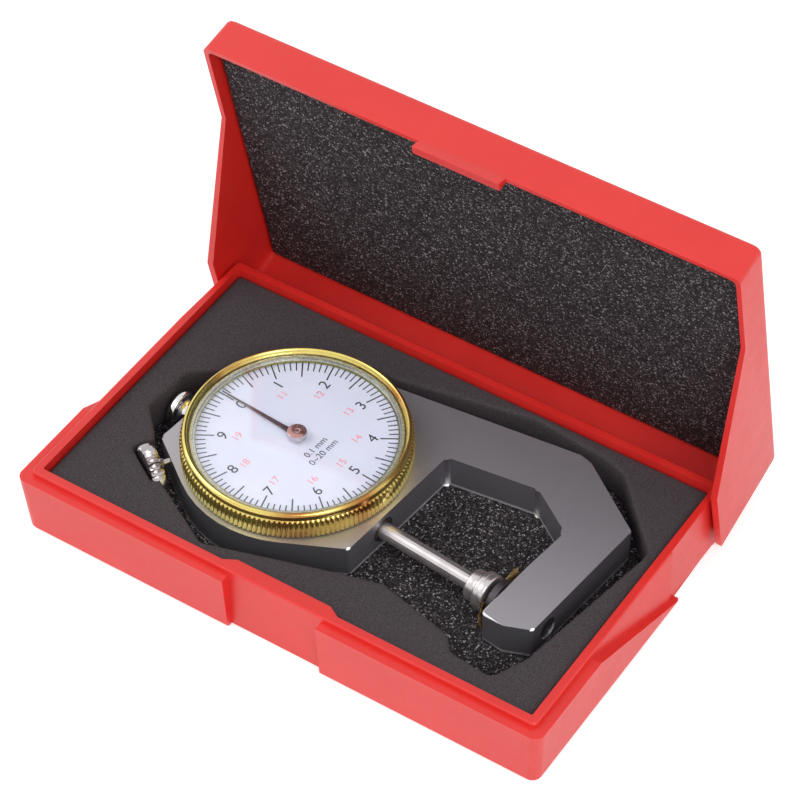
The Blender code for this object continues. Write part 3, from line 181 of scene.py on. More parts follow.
# Foams of the tray: a floor of coarse open-cell foam, black with bright cell walls, and on it a
# smooth sheet, die-cut round the gauge. The cut leaves soft edges and the sheet is a little uneven.
def foam_block(name, shape, cell, swell, finish):
    """A foam piece: the solid remeshed in cells of that size, softened, then pushed along its
    normals by clouds of noise of two and a half cells, up to half of swell each way."""
    mesh = bpy.data.meshes.new(name)
    shape.to_mesh(mesh)
    shape.free()
    rough = bpy.data.objects.new(name + "_cut", mesh)
    bpy.context.scene.collection.objects.link(rough)
    remesh = rough.modifiers.new("cells", "REMESH")
    remesh.mode = "VOXEL"
    remesh.voxel_size = cell * MM
    soften = rough.modifiers.new("soft edges", "SMOOTH")
    soften.factor = 0.5
    soften.iterations = 3
    grain = bpy.data.textures.new(name + "_grain", "CLOUDS")
    grain.noise_scale = 2.5 * cell * MM
    push = rough.modifiers.new("uneven", "DISPLACE")
    push.texture = grain
    push.texture_coords = "LOCAL"
    push.strength = swell * MM
    push.mid_level = 0.5
    depsgraph = bpy.context.evaluated_depsgraph_get()
    finished = bpy.data.meshes.new_from_object(rough.evaluated_get(depsgraph))
    bpy.data.objects.remove(rough)
    finished.name = name
    finished.materials.clear()
    finished.materials.append(finish)
    finished.shade_smooth()
    piece = bpy.data.objects.new(name, finished)
    bpy.context.scene.collection.objects.link(piece)
    return piece


coarse_foam, tree, shader, place = shader_of("coarse_foam", 0.85)
specks = tree.nodes.new("ShaderNodeTexVoronoi")
specks.inputs["Scale"].default_value = 3300
tree.links.new(place, specks.inputs["Vector"])
sparkle = tree.nodes.new("ShaderNodeSeparateColor")
tree.links.new(specks.outputs["Color"], sparkle.inputs["Color"])
tree.links.new(tinted(tree, sparkle.outputs["Red"],
                      [(0.0, (0.004, 0.003, 0.003)), (0.50, (0.014, 0.011, 0.013)),
                       (0.80, (0.054, 0.044, 0.050)), (0.93, (0.13, 0.115, 0.125)),
                       (0.985, (0.40, 0.38, 0.39))]),
               shader.inputs["Base Color"])
relief(tree, shader, specks.outputs["Distance"], 0.12 * MM)
shader.inputs["Specular IOR Level"].default_value = 0.3

smooth_foam, tree, shader, place = shader_of("smooth_foam", 0.9)
fine = clouding(tree, place, 3200, 3.0)
tree.links.new(tinted(tree, fine, [(0.30, (0.020, 0.015, 0.018)), (0.38, (0.052, 0.043, 0.048)),
                                   (0.62, (0.072, 0.061, 0.067)), (0.74, (0.12, 0.105, 0.113))]),
               shader.inputs["Base Color"])
relief(tree, shader, fine, 0.06 * MM)
shader.inputs["Specular IOR Level"].default_value = 0.25

COARSE_CELL, COARSE_SWELL = 0.8, 0.25
SMOOTH_CELL, SMOOTH_SWELL = 0.55, 0.10
floor_foam = foam_block("foam_under_gauge", merged_copy("foam_floor"), COARSE_CELL, COARSE_SWELL,
                        coarse_foam)
fitted(floor_foam, "root", "coarse_foam", "foam_floor")
sheet_foam = foam_block("foam_cut_round_gauge", merged_copy("foam_sheet"), SMOOTH_CELL,
                        SMOOTH_SWELL, smooth_foam)
fitted(sheet_foam, "root", "smooth_foam", "foam_sheet")


# Lid of the case, of the same moulding as the tray, and the coarse foam pad glued into it. The pad
# is 5.2 mm thick and lies flat while the lid is open; the real pad gives way over the bezel when
# the lid closes.
PRESSED = 1.8
LID_TURN = math.radians(-77.67)

lid = moulded("lid", "case_lid", CASE_ROUNDING, red_plastic)
fitted(lid, "lid", "red_plastic", "case_lid")
# The pad's free side is flattened: each of its points moves along the pad's thickness, as far as
# the outermost one.
pad_shape = merged_copy("foam_lid_pad")
pad_points = np.array([v.co[:] for v in pad_shape.verts])
towards_roof = np.array([0.0, -math.sin(LID_TURN), math.cos(LID_TURN)])
depth = pad_points @ towards_roof
free_side = depth < depth.max() - PRESSED * MM / 2
pad_points[free_side] -= np.outer(depth[free_side] - depth.min(), towards_roof)
for vert, point in zip(pad_shape.verts, pad_points):
    vert.co = point
lid_foam = foam_block("foam_in_lid", pad_shape, COARSE_CELL, COARSE_SWELL, coarse_foam)
fitted(lid_foam, "lid", "coarse_foam", "foam_lid_pad")
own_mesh(lid_foam)


# Body plate of the gauge: one C-shaped piece of ground steel, satin on its faces. Its colour is
# painted by facing: a painted highlight on the narrow chamfers and along the sides' foot, and
# painted shade on the sawn sides. It also carries the bores for spindle and anvil.
FOOT_HIGHLIGHT_FULL, FOOT_HIGHLIGHT_END = 0.6, 0.8
satin_steel, tree, shader, place = shader_of("satin_steel", 0.45, 0.85)
facing = tree.nodes.new("ShaderNodeSeparateXYZ")
tree.links.new(place.node.outputs["Normal"], facing.inputs["Vector"])
# Painted shade on the upright sides, painted highlight on the chamfers, satin tone on the top.
painted_light_by_facing = tinted(tree, facing.outputs["Z"],
                 [(0.15, (0.31, 0.30, 0.33)), (0.30, (0.78, 0.77, 0.79)),
                  (0.93, (0.78, 0.77, 0.79)), (0.985, (0.47, 0.455, 0.495))])
plate_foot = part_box("frame_plate")[0][2]
position = tree.nodes.new("ShaderNodeSeparateXYZ")
tree.links.new(place, position.inputs["Vector"])
# Painted highlight: the lowest 0.6 mm of the sides is bright, fading out by 0.8 mm.
foot_highlight_share = spread(tree, position.outputs["Z"], 1.0, 0.0, plate_foot + FOOT_HIGHLIGHT_FULL * MM,
                  plate_foot + FOOT_HIGHLIGHT_END * MM)
foot_highlight_mix = tree.nodes.new("ShaderNodeMix")
foot_highlight_mix.data_type = "RGBA"
tree.links.new(foot_highlight_share, foot_highlight_mix.inputs["Factor"])
tree.links.new(painted_light_by_facing, foot_highlight_mix.inputs["A"])
foot_highlight_mix.inputs["B"].default_value = (0.95, 0.94, 0.95, 1.0)
tree.links.new(foot_highlight_mix.outputs["Result"], shader.inputs["Base Color"])
grain = clouding(tree, place, 2600, 5.0, (1.0, 0.25, 1.0))
tree.links.new(spread(tree, grain, 0.40, 0.54), shader.inputs["Roughness"])
relief(tree, shader, grain, 0.006 * MM)
fitted(moulded("body_plate", "frame_plate", 0, satin_steel), "gauge", "satin_steel", "frame_plate")


# Movement inside the plate: guide block, bridge, pillars and toothed wheel of brass, a bronze bush,
# an arbor, screws and a post of bright steel, and a blued spiral spring. All are turned or stamped,
# and screwed or pressed in. The bush and the anvil pressed into the jaw are painted near black, as
# painted shade in the bores they sit in.
def metal(name, colour, roughness, waves=700, metallic=0.85):
    """A turned metal whose colour and gloss vary a little with fine clouds."""
    material, tree, shader, place = shader_of(name, roughness, metallic)
    clouds = clouding(tree, place, waves)
    dark = tuple(0.8 * c for c in colour)
    tree.links.new(tinted(tree, clouds, [(0.3, dark), (0.7, colour)]), shader.inputs["Base Color"])
    tree.links.new(spread(tree, clouds, 0.8 * roughness, 1.3 * roughness),
                   shader.inputs["Roughness"])
    return material


def finish_nodes(finish, *names):
    """Gives CAD nodes that keep their own shape their finish."""
    for name in names:
        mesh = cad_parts[name].data
        mesh.materials.clear()
        mesh.materials.append(finish)


brass = metal("brass_parts", (0.66, 0.47, 0.20), 0.28)
polished_steel = metal("polished_steel", (0.74, 0.69, 0.70), 0.27, 250, 0.86)
blued_steel = metal("spring_steel", (0.20, 0.22, 0.30), 0.25)
finish_nodes(brass, "guide_block", "bridge_plate", "bridge_pillar_1",
             "bridge_pillar_2", "bridge_pillar_3", "take_up_wheel")
# Painted shade: the bush is coloured near black for the shade in the spindle's bore.
finish_nodes(metal("bush_painted_shade", (0.16, 0.12, 0.10), 0.4), "guide_bush")
finish_nodes(polished_steel, "bridge_screw_1", "bridge_screw_2", "bridge_screw_3", "spring_post",
             "centre_arbor", "spindle_rack")
# Painted shade: the anvil is coloured near black for the shade of its bore in the jaw.
finish_nodes(metal("anvil_painted_shade", (0.10, 0.09, 0.10), 0.45), "anvil")
finish_nodes(blued_steel, "return_spring")


# Contact disc: polished steel, screwed on the spindle's end. A small step, a fine groove and a
# wider measuring disc with eased rims, all turned in one piece.
GAUGE_TURN = math.radians(-5.4)
dial_low, dial_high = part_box("dial")
GAUGE_AT = np.array([(dial_low[0] + dial_high[0]) / 2, (dial_low[1] + dial_high[1]) / 2,
                     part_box("frame_plate")[0][2]])


def on_gauge(points):
    """Points (u, v, z) of the gauge in millimetres, turned and placed in the case, in metres."""
    cos, sin = math.cos(GAUGE_TURN), math.sin(GAUGE_TURN)
    turn = np.array([[cos, -sin, 0], [sin, cos, 0], [0, 0, 1]])
    return points @ turn.T * MM + GAUGE_AT


def along(points, origin, axis):
    """Points whose own z runs along a level axis from an origin, and whose own x runs up."""
    forward = np.array([math.cos(axis), math.sin(axis), 0.0])
    up = np.array([0.0, 0.0, 1.0])
    return np.array(origin) + points @ np.array([up, np.cross(forward, up), forward])


def eased(profile, size, steps=4):
    """A profile whose corners are rounded: each becomes the curve that leaves it size away on one
    side and arrives size away on the other, bent towards the corner. On a short side it keeps to
    0.45 of the length. The profile's two ends are kept."""
    points = np.array(profile, float)
    back, here, ahead = points[:-2], points[1:-1], points[2:]
    before, after = back - here, ahead - here
    for side in (before, after):
        length = np.linalg.norm(side, axis=1, keepdims=True)
        side *= np.minimum(size, 0.45 * length) / length
    t = np.linspace(0, 1, steps + 1)[None, :, None]
    curve = here[:, None] + before[:, None] * (1 - t) ** 2 + after[:, None] * t**2
    return np.concatenate([points[:1], curve.reshape(-1, 2), points[-1:]])


def turned(profile, columns, ribs=0, rib_depth=0.0, ribbed=None):
    """Grid of points (radius cos a, radius sin a, height) for each profile point and angle a. Where
    ribbed is 1 the radius falls by the rib depth between two of the ribs, in straight flanks."""
    profile = np.array(profile, float)
    angle = np.arange(columns) * math.tau / columns
    share = np.zeros(len(profile)) if ribbed is None else np.array(ribbed, float)
    wave = 1 - np.abs(1 - (ribs * angle / math.pi) % 2)
    radius = profile[:, :1] - rib_depth * share[:, None] * wave[None, :]
    height = np.broadcast_to(profile[:, 1:], radius.shape)
    return np.stack([radius * np.cos(angle), radius * np.sin(angle), height], axis=2)


GRID_MERGE = 0.0005


def piece_from(name, grid, finish, closed_rows=False, closed_columns=True, crease=32):
    """A piece whose four-cornered faces join each grid point with its neighbours in row and
    column. Points in one place are merged, the faces are turned outwards, and edges that bend more
    than the crease, in degrees, are kept sharp."""
    rows, columns = grid.shape[:2]
    row = np.arange(rows if closed_rows else rows - 1)[:, None]
    column = np.arange(columns if closed_columns else columns - 1)[None, :]
    next_row, next_column = (row + 1) % rows, (column + 1) % columns
    corners = [row * columns + column, row * columns + next_column,
               next_row * columns + next_column, next_row * columns + column]
    quads = np.stack(corners, axis=2).reshape(-1, 4)
    mesh = bpy.data.meshes.new(name)
    mesh.from_pydata(grid.reshape(-1, 3).tolist(), [], quads.tolist())
    shape = bmesh.new()
    shape.from_mesh(mesh)
    bmesh.ops.remove_doubles(shape, verts=shape.verts, dist=GRID_MERGE * MM)
    bmesh.ops.recalc_face_normals(shape, faces=shape.faces)
    shape.to_mesh(mesh)
    shape.free()
    mesh.materials.append(finish)
    mesh.shade_smooth()
    mesh.set_sharp_from_angle(angle=math.radians(crease))
    piece = bpy.data.objects.new(name, mesh)
    bpy.context.scene.collection.objects.link(piece)
    return piece


SPINDLE_AT = (0.0, -3.4, 4.35)
DISC_EASE, DISC_COLUMNS = 0.12, 72
disc_profile = [(0, 56.9), (4.15, 56.9), (4.5, 56.6), (4.5, 55.5), (4.4, 55.4), (4.4, 55.3),
                (4.5, 55.2), (4.5, 54.3), (4.2, 54.0), (3.7, 54.0), (3.55, 53.8), (3.55, 53.6),
                (3.7, 53.4), (3.7, 51.8), (3.4, 51.5), (1.5, 51.5), (1.5, 54.0), (0, 54.0)]
disc_grid = turned(eased(disc_profile, DISC_EASE, 2), DISC_COLUMNS)
disc = piece_from("measuring_disc", on_gauge(along(disc_grid, SPINDLE_AT, 0.0)), polished_steel)
fitted(disc, "spindle", "polished_steel", "contact_disc")


# Slip of brown oiled paper that keeps the two measuring faces dry in the case. It is creased, stays
# flat between the faces and leans towards the arm where nothing holds it.
oiled_paper, tree, shader, place = shader_of("oiled_paper", 0.5)
stain = clouding(tree, place, 420, 6.0)
tree.links.new(tinted(tree, stain, [(0.3, (0.09, 0.045, 0.018)), (0.5, (0.34, 0.20, 0.08)),
                                    (0.68, (0.62, 0.45, 0.22))]), shader.inputs["Base Color"])
relief(tree, shader, stain, 0.25 * MM)

# A sheet over (across, rise). Its top edge is low between the faces, high beside them, and frayed
# by two sines. It is flat within the held radius round the spindle and past it leans, with ripples
# that are sines of both.
SLIP_PLACE, SLIP_THICKNESS = 57.35, 0.12
SLIP_START, SLIP_END, SLIP_FOOT = -10.0, 3.6, 0.45
LOW_TOP, LOW_MIDDLE, LOW_HALF, TOP_STEP = 4.8, -3.2, 3.2, 1.6
EXTRA_TOP, SHORT_SIDE, FRAY = 3.8, 0.45, 0.22
HELD_RADIUS, LOOSE_OVER, LEAN = 4.4, 3.0, 1.3
SLIP_ROWS, SLIP_COLUMNS = 80, 32
across = np.linspace(SLIP_START, SLIP_END, SLIP_ROWS)[:, None]
beside = np.clip((np.abs(across - LOW_MIDDLE) - LOW_HALF) / TOP_STEP, 0, 1)
top_edge = LOW_TOP + EXTRA_TOP * beside * np.where(across > 0, 1.0, SHORT_SIDE)
top_edge = top_edge + FRAY * beside * (np.sin(9 * across) + np.sin(23 * across + 1))
share = np.linspace(0, 1, SLIP_COLUMNS)[None, :]
rise = SLIP_FOOT + (top_edge - SLIP_FOOT) * share
from_spindle = np.hypot(across - SPINDLE_AT[1], rise - SPINDLE_AT[2])
loose = np.clip((from_spindle - HELD_RADIUS) / LOOSE_OVER, 0, 1)
ripple = 0.35 * np.sin(1.7 * across + 0.8 * rise) + 0.2 * np.sin(2.3 * rise)
lean = SLIP_PLACE + loose * (LEAN + ripple)
wobble = 0.25 * loose * np.sin(3.1 * across) * np.cos(1.3 * rise)
face = np.stack([lean, across + 0 * rise, rise + wobble], axis=2)
back_face = face[::-1] + np.array([SLIP_THICKNESS, 0.0, 0.0])
paper = piece_from("paper_slip", on_gauge(np.concatenate([face, back_face])), oiled_paper,
                   closed_rows=True, closed_columns=False, crease=60)
shape = bmesh.new()
shape.from_mesh(paper.data)
bmesh.ops.holes_fill(shape, edges=[e for e in shape.edges if e.is_boundary])
bmesh.ops.recalc_face_normals(shape, faces=shape.faces)
shape.to_mesh(paper.data)
shape.free()
fitted(paper, "gauge", "oiled_paper", "jaw_paper")


# Dust cap over the spindle's rear bore: a bright chromed brass turning with a waisted neck and a
# domed head, pressed into the plate.
chrome = metal("chrome_parts", (0.84, 0.82, 0.84), 0.08, 300, 1.0)
cap_profile = [(0, 33.7), (1.84, 33.6), (3.1, 33.15), (4.05, 32.5), (4.5, 31.9), (4.6, 31.5),
               (4.6, 30.7), (4.4, 30.5), (3.3, 30.2), (2.6, 29.4), (2.45, 28.2), (2.5, 26.9),
               (2.9, 26.9), (2.9, 24.5), (0, 24.5)]
CAP_EASE, CAP_COLUMNS = 0.3, 64
cap_grid = turned(eased(cap_profile, CAP_EASE), CAP_COLUMNS)
cap = piece_from("domed_cap", on_gauge(along(cap_grid, SPINDLE_AT, math.pi)), chrome, crease=40)
fitted(cap, "gauge", "chrome_parts", "dust_cap")


# Clamp screw for the bezel: a steel turning whose chrome is worn, with a barrel-shaped head that
# carries coarse ribs for the fingers, and a threaded stem that goes into the plate's edge.
CLAMP_AT = (-23.1, -22.8, 7.3)
CLAMP_TURN = math.radians(244)
KNOB_RIBS, KNOB_RIB_DEPTH, KNOB_RIB_COLUMNS = 22, 0.75, 8
HEAD_FOOT, STEM_RADIUS = -1.75, 1.3
head_profile = [(0, 1.75), (3.9, 1.75), (4.9, 1.5), (5.3, 1.0), (5.4, 0.3), (5.4, -0.3),
                (5.3, -1.0), (4.9, -1.5), (3.9, HEAD_FOOT), (STEM_RADIUS, HEAD_FOOT)]
head_ribbed = [0, 0, 0.7, 1, 1, 1, 1, 0.7, 0, 0]
# The thread is drawn as rings, one above the other, whose radius steps from its crest to its root.
THREAD_RINGS, THREAD_DEPTH, RING_STEP = 13, 0.14, 0.085
THREAD_FOOT, PIN_RADIUS, PIN_FOOT = -2.77, 0.8, -9.0
ring = np.arange(THREAD_RINGS)
thread_profile = np.stack([STEM_RADIUS - THREAD_DEPTH * (ring % 2), HEAD_FOOT - RING_STEP * ring],
                          axis=1)
stem_profile = np.array([(PIN_RADIUS, THREAD_FOOT), (PIN_RADIUS, PIN_FOOT), (0, PIN_FOOT)])
profile = np.concatenate([head_profile, thread_profile, stem_profile])
ribbed = np.concatenate([head_ribbed, np.zeros(len(profile) - len(head_ribbed))])
worn_chrome = metal("worn_chrome", (0.52, 0.48, 0.49), 0.16, 900, 0.95)
knob_grid = turned(profile, KNOB_RIBS * KNOB_RIB_COLUMNS, KNOB_RIBS, KNOB_RIB_DEPTH, ribbed)
knob = piece_from("ribbed_screw", on_gauge(along(knob_grid, CLAMP_AT, CLAMP_TURN)), worn_chrome,
                  crease=25)
fitted(knob, "clamp", "chrome_parts", "clamp_screw")


# Bezel: polished gilt brass ring with a fine straight knurl for the fingers, a smooth rounded crest
# and a plain inner wall that holds the crystal. A spigot below it turns in the plate's groove.
gilt, tree, shader, place = shader_of("gilt_brass", 0.2, 0.9)
# Painted reflection: large clouds turn the gilt brown in patches, and the gloss varies with them.
brown_reflection_clouds = clouding(tree, place, 45, 3.0)
tree.links.new(tinted(tree, brown_reflection_clouds, [(0.36, (0.46, 0.20, 0.05)), (0.48, (0.76, 0.58, 0.17)),
                                      (0.62, (0.88, 0.78, 0.24))]),
               shader.inputs["Base Color"])
tree.links.new(spread(tree, brown_reflection_clouds, 0.16, 0.28), shader.inputs["Roughness"])

KNURLS, KNURL_DEPTH, KNURL_COLUMNS = 144, 0.45, 6
bezel_profile = [(21.2, 7.3), (22.5, 7.3), (22.5, 9.0), (25.7, 9.0), (26.0, 9.25), (26.0, 13.55),
                 (25.85, 13.75), (25.6, 13.9), (25.45, 14.05), (25.45, 14.3), (25.5, 14.7),
                 (25.45, 15.15), (25.3, 15.5), (25.05, 15.75), (24.75, 15.85), (24.5, 15.75),
                 (24.35, 15.5), (24.25, 15.1), (24.12, 14.98), (24.0, 14.8), (24.0, 12.105),
                 (21.2, 12.105)]
bezel_ribbed = [0, 0, 0, 0.5, 1, 1, 0.8, 0.1] + [0] * 14
bezel_grid = turned(bezel_profile, KNURLS * KNURL_COLUMNS, KNURLS, KNURL_DEPTH, bezel_ribbed)
bezel = piece_from("knurled_bezel", on_gauge(bezel_grid), gilt, closed_rows=True, crease=38)
fitted(bezel, "rim", "gilt_brass", "bezel")


# Dial: thin sheet brass, enamelled bluish white, held under a bright stepped ring. The scale is
# printed in black and, for the second turn, in red.
enamel, tree, shader, place = shader_of("dial_enamel", 0.42)
tree.links.new(tinted(tree, clouding(tree, place, 90), [(0.3, (0.65, 0.65, 0.775)),
                                                        (0.7, (0.70, 0.695, 0.81))]),
               shader.inputs["Base Color"])
tree.links.new(spread(tree, clouding(tree, place, 500), 0.36, 0.48), shader.inputs["Roughness"])
finish_nodes(enamel, "dial")


def from_dial_axis(tree, place):
    """Distance of a place from the dial's axis, in millimetres."""
    centred = tree.nodes.new("ShaderNodeMapping")
    centred.inputs["Location"].default_value = (-GAUGE_AT[0] / MM, -GAUGE_AT[1] / MM, 0)
    centred.inputs["Scale"].default_value = (1 / MM, 1 / MM, 0)
    tree.links.new(place, centred.inputs["Vector"])
    length = tree.nodes.new("ShaderNodeVectorMath")
    length.operation = "LENGTH"
    tree.links.new(centred.outputs["Vector"], length.inputs[0])
    return length.outputs["Value"]


RING_INNER, RING_OUTER = 22.4, 23.7
ring_metal, tree, shader, place = shader_of("stepped_ring", 0.3, 0.7)
banded = spread(tree, from_dial_axis(tree, place), 0.0, 1.0, RING_INNER, RING_OUTER)
# Bands by radius: the thin olive band at the inner edge is a painted reflection of the bezel, and
# the dark line at the step is painted shade; silver between them, pale gold and gold outwards.
bands_and_painted_light = tinted(tree, banded, [(0.0, (0.34, 0.32, 0.10)), (0.10, (0.34, 0.32, 0.10)),
                              (0.13, (0.66, 0.66, 0.62)), (0.38, (0.80, 0.80, 0.78)),
                              (0.44, (0.30, 0.29, 0.24)), (0.49, (0.74, 0.74, 0.70)),
                              (0.66, (0.78, 0.76, 0.62)), (0.76, (0.74, 0.66, 0.34)),
                              (1.0, (0.80, 0.72, 0.36))])
dots = tree.nodes.new("ShaderNodeTexVoronoi")
dots.inputs["Scale"].default_value = 1900
tree.links.new(place, dots.inputs["Vector"])
dotted = tree.nodes.new("ShaderNodeMix")
dotted.data_type = "RGBA"
dotted.blend_type = "MULTIPLY"
dotted.inputs["Factor"].default_value = 0.6
tree.links.new(bands_and_painted_light, dotted.inputs["A"])
tree.links.new(tinted(tree, dots.outputs["Distance"], [(0.15, (0.3, 0.3, 0.3)), (0.5, (1, 1, 1))]),
               dotted.inputs["B"])
tree.links.new(dotted.outputs["Result"], shader.inputs["Base Color"])
finish_nodes(ring_metal, "dial_ring")


def ink(name, colour):
    """Printing ink: a plain colour that lies a little unevenly."""
    material, tree, shader, place = shader_of(name, 0.5)
    pale = tuple(min(1.0, 1.35 * c + 0.01) for c in colour)
    tree.links.new(tinted(tree, clouding(tree, place, 1500), [(0.4, colour), (0.75, pale)]),
                   shader.inputs["Base Color"])
    return material


black_ink = ink("black_ink", (0.014, 0.014, 0.022))
red_ink = ink("red_ink", (0.82, 0.26, 0.31))
DIAL_TOP = (dial_high[2] - GAUGE_AT[2]) / MM
PRINT_TURN = math.radians(-0.7)
INK = 0.03

# Each tick is a thin box from its inner radius to the outer one, at its share of the turn.
TICKS, EVERY = 100, 5
LONG_TICK, SHORT_TICK, TICK_END = 18.25, 20.15, 22.6
BOLD_HALF, FINE_HALF = 0.16, 0.14
number = np.arange(TICKS)
angle = math.tau * number / TICKS + PRINT_TURN
outwards = np.stack([-np.cos(angle), np.sin(angle)], axis=1)
sideways = np.stack([np.sin(angle), np.cos(angle)], axis=1)
inner = np.where(number % EVERY == 0, LONG_TICK, SHORT_TICK)
half_width = np.where(number % EVERY == 0, BOLD_HALF, FINE_HALF)
outer = np.full(TICKS, TICK_END)
along_tick = np.stack([inner, inner, outer, outer], axis=1)
across_tick = np.stack([-half_width, half_width, half_width, -half_width], axis=1)
plan = outwards[:, None] * along_tick[..., None] + sideways[:, None] * across_tick[..., None]
heights = np.array([DIAL_TOP, DIAL_TOP + INK])
corners = np.empty((TICKS, 2, 4, 3))
corners[..., :2] = plan[:, None]
corners[..., 2] = heights[None, :, None]
box_faces = np.array([[0, 1, 2, 3], [4, 5, 6, 7], [0, 1, 5, 4], [1, 2, 6, 5], [2, 3, 7, 6],
                      [3, 0, 4, 7]])
tick_faces = (box_faces[None] + 8 * number[:, None, None]).reshape(-1, 4)
tick_mesh = bpy.data.meshes.new("scale_ticks")
tick_mesh.from_pydata(on_gauge(corners.reshape(-1, 3)).tolist(), [], tick_faces.tolist())
shape = bmesh.new()
shape.from_mesh(tick_mesh)
bmesh.ops.recalc_face_normals(shape, faces=shape.faces)
shape.to_mesh(tick_mesh)
shape.free()
tick_mesh.materials.append(black_ink)
ticks = bpy.data.objects.new("scale_ticks", tick_mesh)
bpy.context.scene.collection.objects.link(ticks)
fitted(ticks, "rim", "dial_enamel")


LETTER_MERGE = 0.001


def printed(name, labels, finish):
    """Words in ink on the dial. Each label is its words, the height of its tallest letter and the
    place (u, v) of its middle; it reads along v, its top towards the end of the spindle."""
    shape = bmesh.new()
    for words, height, (u, v) in labels:
        curve = bpy.data.curves.new(name, "FONT")
        curve.body = words
        curve.extrude = 0.5
        curve.resolution_u = 6
        letters = bpy.data.objects.new(name + "_letters", curve)
        bpy.context.scene.collection.objects.link(letters)
        depsgraph = bpy.context.evaluated_depsgraph_get()
        mesh = bpy.data.meshes.new_from_object(letters.evaluated_get(depsgraph))
        bpy.data.objects.remove(letters)
        flat = np.empty(3 * len(mesh.vertices))
        mesh.vertices.foreach_get("co", flat)
        flat = flat.reshape(-1, 3)
        low, high = flat.min(axis=0), flat.max(axis=0)
        scale = height / (high[1] - low[1])
        right, top = ((flat - (low + high) / 2) * scale)[:, :2].T
        cos, sin = math.cos(PRINT_TURN), math.sin(PRINT_TURN)
        own = np.stack([u - top, v + right], axis=1) @ np.array([[cos, -sin], [sin, cos]])
        level = DIAL_TOP + INK * (flat[:, 2:] > 0)
        placed = on_gauge(np.concatenate([own, level], axis=1))
        mesh.vertices.foreach_set("co", placed.ravel())
        shape.from_mesh(mesh)
    bmesh.ops.remove_doubles(shape, verts=shape.verts, dist=LETTER_MERGE * MM)
    bmesh.ops.recalc_face_normals(shape, faces=shape.faces)
    joined = bpy.data.meshes.new(name)
    shape.to_mesh(joined)
    shape.free()
    joined.materials.append(finish)
    piece = bpy.data.objects.new(name, joined)
    bpy.context.scene.collection.objects.link(piece)
    return fitted(piece, "rim", "dial_enamel")


NUMBERS = 10


def round_dial(near, far):
    """Each number with its place (u, v): 36 degrees apart, clockwise from the spindle's rear end,
    at a radius that grows from near, on the spindle's line, to far beside it."""
    turn = math.tau * np.arange(NUMBERS) / NUMBERS
    reach = near + (far - near) * np.abs(np.sin(turn))
    return enumerate(np.stack([-reach * np.cos(turn), reach * np.sin(turn)], axis=1))


BLACK_HEIGHT, RED_HEIGHT, WORD_HEIGHT = 2.6, 1.8, 1.6
BLACK_NEAR, BLACK_FAR, RED_NEAR, RED_FAR = 16.05, 16.8, 12.5, 13.6
STEP_AT, RANGE_AT = (5.1, 0.0), (7.4, -0.1)
first_turn = [(str(n), BLACK_HEIGHT, at) for n, at in round_dial(BLACK_NEAR, BLACK_FAR)]
second_turn = [(str(NUMBERS + n), RED_HEIGHT, at) for n, at in round_dial(RED_NEAR, RED_FAR) if n]
words = [("0.1 mm", WORD_HEIGHT, STEP_AT), ("0~20 mm", WORD_HEIGHT, RANGE_AT)]
printed("black_numbers", first_turn + words, black_ink)
printed("red_numbers", second_turn, red_ink)


# Pointer and its hub. The pointer is thin brass strip lacquered dark brown, tapered to a fine end.
# The hub is a copper-coloured turning pressed on the arbor, with the arbor's end in its middle. Its
# upright sides are painted pale silver, a painted reflection of the white surround.
lacquer, tree, shader, place = shader_of("pointer_lacquer", 0.3)
tree.links.new(tinted(tree, clouding(tree, place, 900), [(0.3, (0.032, 0.010, 0.012)),
                                                         (0.7, (0.080, 0.026, 0.030))]),
               shader.inputs["Base Color"])
# Along the reach from the hub the half width falls evenly, and a bell curve widens it at the hub.
# Each cross-section is a low ridge, and the first and the last one close to a point.
BLADE_START, BLADE_END, BLADE_FOOT, BLADE_ROWS = 1.2, 21.6, 13.5, 60
END_HALF, TAPER, HUB_EXTRA, HUB_EXTRA_REACH = 0.14, 0.50, 0.30, 1.6
reach = np.linspace(BLADE_START, BLADE_END, BLADE_ROWS)[:, None]
at_hub = np.exp(-(((reach - BLADE_START) / HUB_EXTRA_REACH) ** 2))
half = END_HALF + TAPER * (1 - reach / BLADE_END) + HUB_EXTRA * at_hub
around = np.array([[-1.0, 0.0, 1.0, 1.0, 0.0, -1.0]])
level = np.array([[0.0, 0.0, 0.0, 0.12, 0.3, 0.12]])
blade = np.stack([-reach + 0 * around, half * around, BLADE_FOOT + level + 0 * reach], axis=2)
tip = np.broadcast_to(blade[-1:].mean(axis=1, keepdims=True), blade[-1:].shape)
root = np.broadcast_to(blade[:1].mean(axis=1, keepdims=True), blade[:1].shape)
pointer = piece_from("tapered_pointer", on_gauge(np.concatenate([root, blade, tip])), lacquer,
                     crease=25)
fitted(pointer, "centre", "pointer_lacquer", "pointer")

copper, tree, shader, place = shader_of("copper_hub", 0.2, 0.85)
facing = tree.nodes.new("ShaderNodeSeparateXYZ")
tree.links.new(place.node.outputs["Normal"], facing.inputs["Vector"])
# Painted reflection: upright faces are pale silver, the top is copper.
tree.links.new(tinted(tree, facing.outputs["Z"], [(0.5, (0.62, 0.57, 0.58)),
                                                  (0.9, (0.62, 0.34, 0.31))]),
               shader.inputs["Base Color"])
tree.links.new(spread(tree, clouding(tree, place, 700), 0.12, 0.26), shader.inputs["Roughness"])
hub_profile = [(0, 15.0), (0.42, 15.0), (0.5, 14.86), (0.62, 14.86), (0.75, 14.95), (1.9, 14.92),
               (2.15, 14.8), (2.25, 14.55), (2.25, 13.6), (2.05, 13.42), (0, 13.42)]
HUB_COLUMNS = 60
hub = piece_from("pointer_boss", on_gauge(turned(hub_profile, HUB_COLUMNS)), copper, crease=35)
fitted(hub, "centre", "copper_hub", "pointer_hub")


